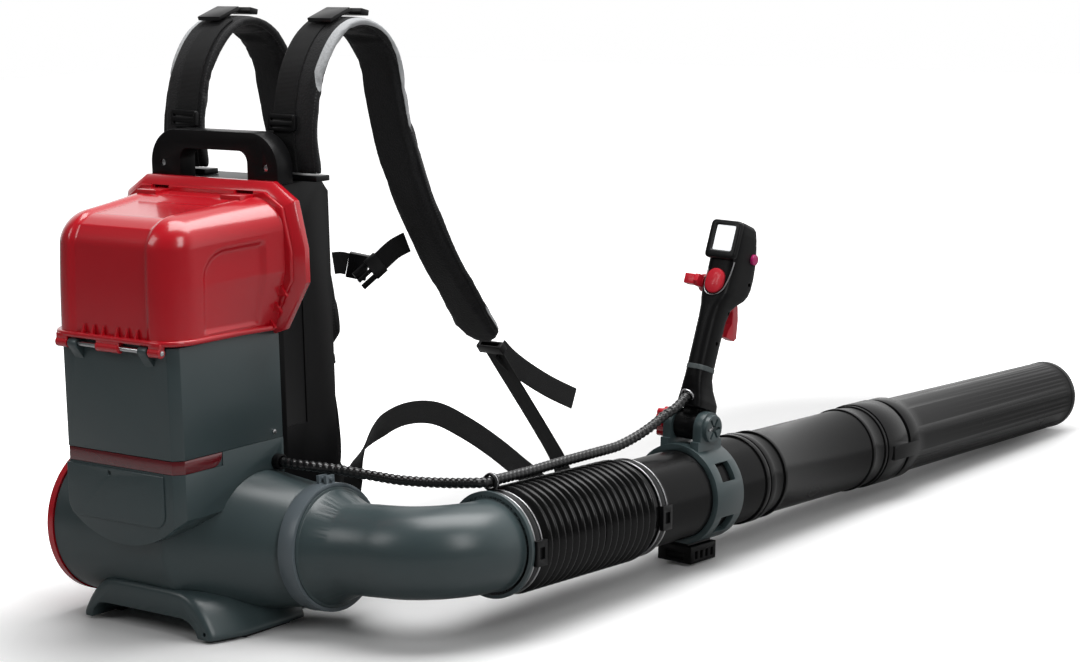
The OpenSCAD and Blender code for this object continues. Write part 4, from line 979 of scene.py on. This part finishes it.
def hoseProfile():
    # (radius, distance) down the outside
    c = hose
    s0 = c["cuff"] + 2
    length = air["hoseLength"]
    pitch = (length - 2 * s0) / c["ribs"]
    high, valley = air["hoseRadius"], air["hoseRadius"] - 5.5
    out = [(c["cuffRadius"], c["start"]), (c["cuffRadius"], s0 - 1.2)]
    for i in range(c["ribs"]):
        out += [(valley, s0 + pitch * i), (high - 2.6, s0 + pitch * (i + 0.24)), (high - 0.4, s0 + pitch * (i + 0.36)),
                (high, s0 + pitch * (i + 0.5)), (high - 0.4, s0 + pitch * (i + 0.64)), (high - 2.6, s0 + pitch * (i + 0.76))]
    return out + [(valley, length - s0), (c["cuffRadius"], length - s0 + 1.2), (c["cuffRadius"], length)]


def makeHoseHalf(name, low, high):
    outer = [p for p in hoseProfile() if low - 1e-6 <= p[1] <= high + 1e-6]
    if outer[0][1] > low + 0.01:
        outer.insert(0, (outer[0][0], low))
    inner = [(min(r - 2, air["hoseRadius"] - 4) if r > hose["cuffRadius"] else hose["bore"], s) for r, s in reversed(outer)]
    piece = turned(name, outer + inner, tubeFrame(0) @ turnX(-90), hose["sides"], closed=True)
    dress(piece, "hose_black", None, angle=50)
    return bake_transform(piece)


c0 = hose["cuff"] + 2
ribPitch = (air["hoseLength"] - 2 * c0) / hose["ribs"]
hoseSplit = c0 + ribPitch * 9
rearHose = makeHoseHalf("hoseRearHalf", 0, hoseSplit)
frontHose = makeHoseHalf("hoseFrontHalf", hoseSplit, 999)
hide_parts("flex_hose")

wires = {"rear": (7.4, 18.6), "front": (220.6, 231.4), "radius": 52.1, "thick": 1.0, "tie": (-9, 14, 60.5), "tieRadius": 8.8}


def makeWire(name, place, radius, thick, body):
    profile = [(radius + a, b) for a, b in superOval(thick, thick, 2, 8)]
    dress(turned(name, profile, place, 96, closed=True), "steel", body, material=chromeEdge, angle=60)


for number, far in enumerate(wires["rear"]):
    makeWire(f"clampWireRear{number}", tubeFrame(far) @ turnX(-90), wires["radius"], wires["thick"], "pack")
for number, far in enumerate(wires["front"]):
    makeWire(f"clampWireFront{number}", tubeFrame(far) @ turnX(-90), wires["radius"], wires["thick"], "tube")
makeWire("cableTie", tubeFrame(0) @ shiftBy(*wires["tie"]) @ turnX(-90), wires["tieRadius"], 0.7, "pack")
print("hose and clamp wires made")

# ---- control cable in its spiral wrap ----

cable = {"rearRoute": [Vector((83.6, -42, 164)), Vector((93, -42, 164)), Vector((105, -41, 163.6)), Vector((122, -34, 162)),
                       Vector((148, -18, 158)), Vector((180, -4, 153)), Vector((210, 6, 150)), Vector((248, 22, 149)),
                       onTube(-17, 2, 60.5), onTube(-9, 14, 60.5), onTube(-9, 24, 61.5), onTube(-9, 40, 61.5)],
         "midRoute": [onTube(-9, 40.4, 61.5), onTube(-9, 79.3, 62), onTube(-10, 119, 63), onTube(-10, 161.8, 64),
                      onTube(-10, 212, 65)],
         "frontRoute": [onTube(-10, 212.4, 65), onTube(-10, 230, 66), onTube(-8, 254, 71), onTube(-5, 278, 79),
                        onTube(-2, 300, 89), onGrip(0, -37, 12), onGrip(0, -24, 25.7), onGrip(0, -13, 37)],
         "core": 4.5, "ridge": 0.95, "pitch": 6.5, "sides": 20, "ring": 1.3}


def evenPath(route, step):
    path = smoothPath(route, 12)
    far = pathLengths(path)
    count = max(2, int(far[-1] / step))
    out, k = [], 0
    for i in range(count + 1):
        want = far[-1] * i / count
        while k < len(far) - 2 and far[k + 1] < want:
            k += 1
        t = (want - far[k]) / max(1e-9, far[k + 1] - far[k])
        out.append(path[k].lerp(path[k + 1], t))
    return out


def wrapSection(offset):
    c = cable

    def section(i, far):
        out = []
        for j in range(c["sides"]):
            a = 2 * math.pi * j / c["sides"]
            phase = ((far + offset) / c["pitch"] - j / c["sides"]) % 1.0
            lift = c["ridge"] * (math.sin(math.pi * min(1.0, phase / 0.72)) ** 0.5 if phase < 0.72 else 0)
            r = c["core"] + lift
            out.append((r * math.cos(a), r * math.sin(a)))
        return out
    return section


def makeCablePart(name, path, offset):
    piece = sweepAlong(name, path, (0.1, 0.2, 1), wrapSection(offset))
    return dress(piece, "cable_black", None, angle=60)


fullRoute = evenPath(cable["rearRoute"] + cable["midRoute"][1:] + cable["frontRoute"][1:], cable["ring"])
fullFar = pathLengths(fullRoute)
tubeBack = tubeFrame(0).inverted()
gripBack = gripFrame.inverted()
alongTube = [(tubeBack @ p).y for p in fullRoute]
firstCut = next(i for i, s in enumerate(alongTube) if s > 119)
secondCut = next(i for i, s in enumerate(alongTube) if s > 214)
thirdCut = next(i for i, s in enumerate(alongTube) if s > 268)
cableRear = makeCablePart("cableRear", fullRoute[:firstCut + 1], 0)
cableMiddle = makeCablePart("cableMiddle", fullRoute[firstCut:secondCut + 1], fullFar[firstCut])
cableFront = makeCablePart("cableFront", fullRoute[secondCut:thirdCut + 1], fullFar[secondCut])
cableGrip = makeCablePart("cableGrip", fullRoute[thirdCut:], fullFar[thirdCut])
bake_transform(cableRear)
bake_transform(cableMiddle)
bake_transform(cableFront)
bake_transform(cableGrip)
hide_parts("cable_rear")
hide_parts("cable_mid")
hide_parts("cable_front")
print("control cable made, mm long:", round(fullFar[-1]))

# ---- handle halves ----

grip = {"stations": (
    # height, half width, rear d, front d, power
    (18.6, 15.6, -16.5, 20.6, 5), (20, 17, -18, 22, 5), (27, 16.6, -18.6, 21.6, 5), (34, 15.2, -19.8, 17.5, 4.4), (42, 14, -21.6, 12, 3.6),
    (52, 13.3, -23, 8.2, 2.8), (60, 13.3, -23.4, 7.2, 2.5), (90, 13.5, -23.6, 7.3, 2.4), (118, 13.6, -23.4, 7.6, 2.5),
    (132, 14.6, -22.6, 10, 2.9), (140, 16.8, -21.4, 16, 3.6), (147, 18.6, -20, 24.5, 4.2), (154, 19, -18.9, 30, 4.4),
    (162, 19, -18.3, 32.4, 4.6), (174, 19, -18, 32.6, 4.8), (190, 19, -18, 30, 5), (204, 18.9, -18, 25.6, 5), (216, 18.6, -18, 20.6, 5),
    (224.5, 17.8, -18, 16.6, 5), (227.6, 16, -17.2, 13.6, 5), (228.4, 13, -14.5, 10, 5)),
    "around": 64, "wall": 2.5}


def makeGripHalf(side):
    c = grip
    table = c["stations"]
    highs = [row[0] for row in table]
    rings, points = 0, []
    for h in samples(highs[0], highs[-1], 2.4, highs):
        row = [float(np.interp(h, highs, [r[k] for r in table])) for k in range(1, 5)]
        half, rear, front, power = row
        middle, deep = (rear + front) / 2, (front - rear) / 2
        points += [(a, middle + b, h) for a, b in superOval(half, deep, power, c["around"])]
        rings += 1
    solid = newPiece("gripSolid", points, skinFaces(rings, c["around"]), gripFrame)
    # Lug round the tilt bolt, and the neck up into the flare
    lug = bevelled(turned("lug", [(0, -14), (15, -14), (15, 14), (0, 14)], pivotFrame @ turnY(90), 48), 0.8)
    neck = block("neck", (-9, 9), (-9, 9), (12, 22), gripFrame)
    for extra in (lug, neck):
        add = solid.modifiers.new("add", "BOOLEAN")
        add.operation = "UNION"
        add.solver = "EXACT"
        add.object = extra
        applyModifiers(solid)
        bpy.data.objects.remove(extra)
    cutAway(solid, block("slot", (-5.6, 5.6), (8, 60), (98, 154), gripFrame))
    cutAway(solid, block("screenHole", (-17, 17), (-25, -14), (188, 222), gripFrame))
    cutAway(solid, extruded("ovalHole", [(x, y + 159) for x, y in superOval(11.35, 14.35, 2.15, 40)], -26, -10,
                            gripFrame @ Matrix(((1, 0, 0, 0), (0, 0, 1, 0), (0, 1, 0, 0), (0, 0, 0, 1)))))
    cutAway(solid, turned("boostHole", [(0, -10), (6.3, -10), (6.3, 20), (0, 20)], gripFrame @ shiftBy(19, 16.5, 194) @ turnY(90), 32))
    cutAway(solid, turned("boltHole", [(0, -40), (4.06, -40), (4.06, 40), (0, 40)], pivotFrame @ turnY(90), 32))
    # Screw wells on the right side, seam in the middle plane
    if side > 0:
        for d, h in ((1.5, 128), (-8, 92), (20, 166)):
            cutAway(solid, turned("well", [(0, 6), (2.4, 6), (2.4, 30), (0, 30)], gripFrame @ shiftBy(3, d, h) @ turnY(90), 20))
    cutAway(solid, block("otherHalf", (-60, 0.06) if side > 0 else (-0.06, 60), (-80, 80), (-40, 260), gripFrame))
    bevelled(solid, 0.4, 2, 50)
    name = "gripRight" if side > 0 else "gripLeft"
    return dress(solid, "black_shell", "handle", ["handle_right" if side > 0 else "handle_left"], angle=45)


makeGripHalf(-1)
makeGripHalf(1)

trim = {"bandHigh": (59.5, 65), "thick": (0.9, 0.6),
        "buttonLine": ((-12.6, 172), (-13.4, 162), (-12.6, 153), (-9, 146.5), (-3.5, 143.4), (2, 143.2), (8, 145.6), (12.6, 151.5),
                       (15.2, 160), (17.2, 170), (18.4, 182)),
        "entry": (-20.4, 29.4), "entryRadius": 7.4}
screen = {"half": (20, 21.6), "high": 205.6, "corner": 5, "window": (12.2, 14.2), "windowHigh": 207.4, "depth": (-18.05, -23.5),
          "face": -21.2}


def makeGripTrim():
    # Pale band round the foot of the grip, and the bright line round the power button
    low, high = trim["bandHigh"]
    profile = [(0.0, low), (0.55, low + 0.5), (0.55, high - 0.5), (0.0, high)]
    points = []
    for out, h in profile:
        points += [(a, -8.1 + b, h) for a, b in superOval(13.35 + out, 15.35 + out, 2.48, 64)]
    dress(newPiece("gripBand", points, skinFaces(4, 64, caps=False), gripFrame), "grey_shell", "handle", material=gripBand)
    highs = [row[0] for row in grip["stations"]]
    rears = [row[2] for row in grip["stations"]]
    path = smoothPath([(x, float(np.interp(h, highs, rears)) - 0.1, h) for x, h in trim["buttonLine"]], 5)
    path = [gripFrame @ p for p in path]
    line = sweepAlong("buttonTrim", path, tuple(gripFrame.to_3x3() @ Vector((0, 1, 0))), lambda i, d: superOval(*trim["thick"], 2, 8))
    dress(line, "steel", "handle", material=chromeEdge, angle=60)
    d, h = trim["entry"]
    ring = [(trim["entryRadius"] + a, b) for a, b in superOval(1.0, 1.6, 2, 10)]
    dress(turned("cableEntry", ring, gripFrame @ shiftBy(0, d, h) @ turnX(-44), 40, closed=True), "steel", "handle",
          material=chromeEdge, angle=60)


def roundBox(halfWide, halfHigh, middle, corner):
    out = []
    for sx, sz, start in ((1, 1, 0), (-1, 1, 90), (-1, -1, 180), (1, -1, 270)):
        for a in range(0, 91, 15):
            t = math.radians(start + a)
            out.append((sx * (halfWide - corner) + corner * math.cos(t), middle + sz * (halfHigh - corner) + corner * math.sin(t)))
    return out


def makeScreen():
    c = screen
    wide, tall = c["half"]
    back, front = c["depth"]
    rings = [(roundBox(wide, tall, c["high"], c["corner"]), back), (roundBox(wide, tall, c["high"], c["corner"]), front + 2),
             (roundBox(wide - 0.8, tall - 0.8, c["high"], c["corner"]), front + 0.6),
             (roundBox(wide - 2.2, tall - 2.2, c["high"], c["corner"] - 1), front),
             (roundBox(c["window"][0] + 1.6, c["window"][1] + 1.6, c["windowHigh"], 3), front + 0.2),
             (roundBox(*c["window"], c["windowHigh"], 2), c["face"] - 0.2), (roundBox(*c["window"], c["windowHigh"], 2), back)]
    points = [(x, d, h) for outline, d in rings for x, h in outline]
    frameShape = newPiece("screenBezel", points, skinFaces(len(rings), 28, caps=False, closedLoop=True), gripFrame)
    dress(frameShape, "buckle_black", "handle", ["handle_screen"])
    half, tallHalf = c["window"]
    face = bevelled(block("screenFace", (0.1 - half, half - 0.1), (c["face"], back), (c["windowHigh"] - tallHalf + 0.1,
                          c["windowHigh"] + tallHalf - 0.1), gripFrame), 0.25)
    dress(face, "screen_glass", "handle")


makeGripTrim()
makeScreen()
print("control handle made")

# ---- harness: webbing, pads, back pad ----

webRoutes = {"wide": 25, "thick": 1.9, "frameTop": 445, "archTurn": 85}
padRise = [(79, 14, 7), (79, 11, 45), (79, 15, 80), (79, 27, 117), (79, 50, 145), (79, 82, 157), (79, 116, 147),
           (79, 139, 119), (79, 149, 80)]
rightFall = [(80, 157, 40), (80, 172, -5), (80, 193, -52), (80, 224, -103), (80, 262, -153), (80, 304, -207)]
leftFall = [(79, 160, 35), (79, 176, -15), (79, 186, -60), (79, 192, -110), (79, 197, -160), (79, 202, -217)]


def onTop(route, side=1):
    return [Vector((side * x, y, z + webRoutes["frameTop"])) for x, y, z in route]


rightLoop = onTop([(80, 313, -219), (80, 330, -241)]) + [Vector(p) for p in (
    (80, 362, 164), (80, 400, 116), (79, 430, 77), (77, 444, 50), (77, 438, 33), (78, 416, 38), (81, 376, 66),
    (85, 310, 112), (89, 250, 148), (92, 195, 174), (93, 142, 181), (93, 98, 170), (93, 70, 146), (93, 59, 118), (93, 57, 96.4))]
leftLoop = onTop([(79, 203.6, -227), (79, 208, -255)], -1) + [Vector((-x, y, z)) for x, y, z in (
    (80, 216, 146), (82, 219, 100), (85, 206, 58), (88, 176, 32), (91, 136, 28), (93, 96, 40), (93, 68, 64), (93, 60, 83.2))]
rightTail = onTop([(84, 322, -221), (85, 340, -237)]) + [Vector((87, 366, 190)), Vector((89, 404, 168)), Vector((90, 448, 147))]
chestRight = onTop([(46, 213, -89), (38, 200, -96), (30, 187, -108)])
chestLeft = onTop([(-45.3, 192.8, -116), (-38, 197, -115.4), (-32, 201, -117)])


def bandSection(wide, thick):
    flat = superOval(wide / 2, thick / 2, 7, 28)
    return lambda i, d: flat


def makeStrap(name, route, flat, n=10):
    path = smoothPath(route, n)
    return sweepAlong(name, path, flat(path, n) if callable(flat) else flat, bandSection(webRoutes["wide"], webRoutes["thick"]))


def onEdge(path, n):
    # The right loop stands on its edge along its arch
    c, out = webRoutes, []
    for i, way in enumerate(headings(path)):
        u = i * 3 / n
        turn = math.radians(c["archTurn"] * max(0, min(1, (u - 18) / 7, (44 - u) / 6)))
        out.append(math.cos(turn) * Vector((1, 0, 0)) + math.sin(turn) * way.cross(Vector((1, 0, 0))))
    return out


def makeWebbing():
    straps = [makeStrap("loopRight", rightLoop, onEdge), makeStrap("tailRight", rightTail, (0, 7, 24)),
              makeStrap("loopLeft", leftLoop, (1, 0, 0)), makeStrap("chestRight", chestRight, (0, -0.5, 0.86)),
              makeStrap("chestLeft", chestLeft, (0, -0.12, 0.99))]
    for number, strap in enumerate(straps):
        dress(strap, "webbing_black", "pack", () if number else ["harness_webbing"], angle=60)


makeWebbing()


pads = {"wide": 64, "thick": 11, "tip": 29, "voxel": 0.0038, "pressure": 4.0, "grow": 0.0045,
        "groove": 24.5, "grooveWide": 1.5, "grooveDeep": 1.5, "paleFrom": 78, "paleTo": 610, "paleWide": (11.5, 4.5),
        "sewnWide": 29, "sewnThick": 2.0, "sewnOff": 9, "sewnTop": 66, "buckleHigh": (58,)}


def padSection(count, k, wide, thick):
    # Nearly flat, with full round edges
    return [(k * a, (0.55 + 0.45 * k) * b) for a, b in superOval(wide / 2, thick / 2, 3.4, count, math.pi / count)]


def inflate(piece, voxel, pressure, cap):
    # Pads are blown up a little by a cloth run, then smoothed once
    before = piece.modifiers.new("voxels", "REMESH")
    before.mode = "VOXEL"
    before.voxel_size = voxel
    applyModifiers(piece)
    rest = np.array([v.co for v in piece.data.vertices])
    cloth = piece.modifiers.new("cloth", "CLOTH")
    cloth.settings.use_pressure = True
    cloth.settings.uniform_pressure_force = pressure
    cloth.settings.quality = 5
    cloth.settings.effector_weights.gravity = 0
    cloth.collision_settings.use_collision = False
    cloth.point_cache.frame_start = 1
    cloth.point_cache.frame_end = 20
    for number in range(1, 21):
        scene.frame_set(number)
    applyModifiers(piece)
    scene.frame_set(1)
    now = np.array([v.co for v in piece.data.vertices])
    move = now - rest
    far = np.linalg.norm(move, axis=1, keepdims=True)
    now = rest + move * np.minimum(1, cap / np.maximum(far, 1e-9))
    piece.data.vertices.foreach_set("co", now.ravel())
    finer = piece.modifiers.new("finer", "SUBSURF")
    finer.levels = 1
    finer.render_levels = 1
    return applyModifiers(piece)


def makePadCloth():
    # The pad's cloth, with its reflective tape and the stitches beside the groove, from the place stored on the pad
    c = pads
    material = padCloth("padFabricTaped", (0.010, 0.010, 0.011), 520)
    tree = material.node_tree
    shader = tree.nodes["Principled BSDF"]
    stored = tree.nodes.new("ShaderNodeAttribute")
    stored.attribute_name = "padPlace"
    parts = tree.nodes.new("ShaderNodeSeparateXYZ")
    link(tree, stored, "Vector", parts, 0)
    across, along, out = (parts.outputs[k] for k in ("X", "Y", "Z"))
    width = tree.nodes.new("ShaderNodeMapRange")
    tree.links.new(along, width.inputs["Value"])
    for socket, value in (("From Min", c["paleFrom"] + 180), ("From Max", c["paleFrom"] + 300), ("To Min", c["paleWide"][0]), ("To Max", c["paleWide"][1])):
        width.inputs[socket].default_value = value / 1000
    start = maths(tree, "DIVIDE", maths(tree, "SUBTRACT", along, c["paleFrom"] / 1000), 0.025)
    start = maths(tree, "SQRT", maths(tree, "MINIMUM", maths(tree, "MAXIMUM", start, 0.0), 1.0))
    inner = maths(tree, "SUBTRACT", (c["wide"] / 2 + 1.5) / 1000, maths(tree, "MULTIPLY", width.outputs[0], start))

    def above(value, limit, soft=0.0003):
        return maths(tree, "MINIMUM", maths(tree, "MAXIMUM", maths(tree, "DIVIDE", maths(tree, "SUBTRACT", value, limit), soft), 0.0), 1.0)

    tape = maths(tree, "MULTIPLY", above(across, inner), above(out, -0.0035))
    tape = maths(tree, "MULTIPLY", tape, maths(tree, "SUBTRACT", 1.0, above(along, c["paleTo"] / 1000)))
    side = maths(tree, "ABSOLUTE", across)
    row = maths(tree, "SUBTRACT", 1.0, above(maths(tree, "ABSOLUTE", maths(tree, "SUBTRACT", side, (c["groove"] + 2.6) / 1000)), 0.0004, 0.0002))
    dash = above(maths(tree, "FRACT", maths(tree, "DIVIDE", along, 0.0034)), 0.35, 0.1)
    stitch = maths(tree, "MULTIPLY", row, dash)
    group = next(n for n in tree.nodes if n.bl_idname == "ShaderNodeGroup")
    cloth = group.outputs["Colour"]
    for mask, colour, strength in ((stitch, (0.035, 0.035, 0.036, 1), 1.0), (tape, (0.46, 0.47, 0.48, 1), 1.0)):
        mix = tree.nodes.new("ShaderNodeMix")
        mix.data_type = "RGBA"
        tree.links.new(mask, mix.inputs["Factor"])
        tree.links.new(cloth, mix.inputs[6])
        mix.inputs[7].default_value = colour
        cloth = mix.outputs[2]
    tree.links.new(cloth, shader.inputs["Base Color"])
    return material


padTaped = makePadCloth()


def markPad(piece, path, side):
    # Keeps each point's place on the pad (across, along, outwards) and presses the groove in beside the bound edge
    c = pads
    ways = headings(path)
    centre = np.array([tuple(p) for p in path])
    far = np.array(pathLengths(path))
    way = np.array([tuple(w) for w in ways])
    inwards = np.array([tuple(w.cross(Vector((1, 0, 0))).normalized()) for w in ways])
    at = np.array([v.co for v in piece.data.vertices]) * 1000
    nearest = np.argmin(((at[:, None, 1:] - centre[None, :, 1:]) ** 2).sum(2), axis=1)
    away = at - centre[nearest]
    across, out = away[:, 0] * side, -(away * inwards[nearest]).sum(1)
    along = far[nearest] + (away * way[nearest]).sum(1)
    tipFade = np.clip((far[-1] - along) / c["tip"], 0, 1)
    depth = c["grooveDeep"] * np.exp(-((np.abs(across) - c["groove"]) / c["grooveWide"]) ** 2) * np.clip(np.abs(out) - 1.5, 0, 1) * tipFade
    at += inwards[nearest] * (np.sign(out) * depth)[:, None]
    piece.data.vertices.foreach_set("co", (at / 1000).ravel())
    stored = piece.data.attributes.new("padPlace", "FLOAT_VECTOR", "POINT")
    stored.data.foreach_set("vector", (np.stack([across, along, out], axis=1) / 1000).astype(np.float32).ravel())
    return across, nearest, out, inwards


def makePad(name, fall, side, node):
    c = pads
    path = smoothPath(onTop(padRise + fall, side), 8)
    last = len(path) - 1
    total = pathLengths(path)[-1]

    def section(i, far):
        e = min(1.0, (total - far) / c["tip"])
        k = max(0.28, math.sqrt(max(0.0, 1 - (1 - e) ** 2)))
        return padSection(40, k, c["wide"], c["thick"])

    pad = sweepAlong(name, path, (1, 0, 0), section)
    inflate(pad, c["voxel"], c["pressure"], c["grow"])
    across, nearest, out, inwards = markPad(pad, path, side)
    dress(pad, "pad_fabric", "pack", [node], material=padTaped, angle=70)

    # Webbing sewn on the outer face, up to the load clip on the top, and the adjuster on its lower part
    near = np.abs(across + c["sewnOff"]) < c["sewnWide"] / 2
    skin = [float(out[near & (np.abs(nearest - i) < 2)].max()) for i in range(last)]
    top = next(i for i, p in enumerate(path) if p.y > c["sewnTop"])
    line = [path[i] + Vector((-side * c["sewnOff"], 0, 0)) - Vector(inwards[i]) * (skin[i] + c["sewnThick"] / 2 - 0.4) for i in range(1, top)]
    strap = sweepAlong(f"{name}Sewn", line, (1, 0, 0), bandSection(c["sewnWide"], c["sewnThick"]))
    dress(strap, "webbing_black", "pack", angle=60)
    for number, high in enumerate(c["buckleHigh"]):
        i = next(i for i, p in enumerate(path) if p.z > high + webRoutes["frameTop"])
        way = headings(path)[i]
        place = Matrix((Vector((1, 0, 0)), way, -Vector(inwards[i]))).transposed().to_4x4()
        place.translation = path[i] + Vector((-side * c["sewnOff"], 0, 0)) - Vector(inwards[i]) * (skin[i] + c["sewnThick"] - 0.6)
        buckle = extruded("buckle", roundBox(c["sewnWide"] / 2 + 4, 8.5, 0, 3), 0, 4.2, place)
        for slot in (-4.2, 3.2):
            cutAway(buckle, block("slot", (-c["sewnWide"] / 2 - 0.5, c["sewnWide"] / 2 + 0.5), (slot - 1.5, slot + 1.5), (1.6, 6), place))
        dress(bevelled(buckle, 0.6), "buckle_black", "pack")
        buckle.name = f"{name}Adjuster{number}"
    return pad


makePad("padRight", rightFall, 1, "strap_pad_right")
makePad("padLeft", leftFall, -1, "strap_pad_left")
print("shoulder pads made")


def makeBackPad():
    c = {"front": 59.3, "low": 172, "step": 23, "wide": 126, "deep": 16}
    path = [Vector((0, c["front"], c["low"] + c["step"] * i / 3)) for i in range(31)]

    def section(i, far):
        k = math.sqrt(max(0.02, 1 - abs((i / 3 - 5) / 5.15) ** 5))
        channel = 1 - 0.3 * math.exp(-((i % 9) / 1.2) ** 2) - 0.3 * math.exp(-(((i % 9) - 9) / 1.2) ** 2)
        return [(k * a, b * channel) for a, b in superOval(c["wide"] / 2 - 3, c["deep"] / 2 - 1.5, 4, 40)]

    pad = sweepAlong("backPad", path, (1, 0, 0), section)
    inflate(pad, 0.005, 3.0, 0.003)
    dress(pad, "pad_fabric", "pack", ["back_pad"], angle=70)


makeBackPad()
print("back pad made")
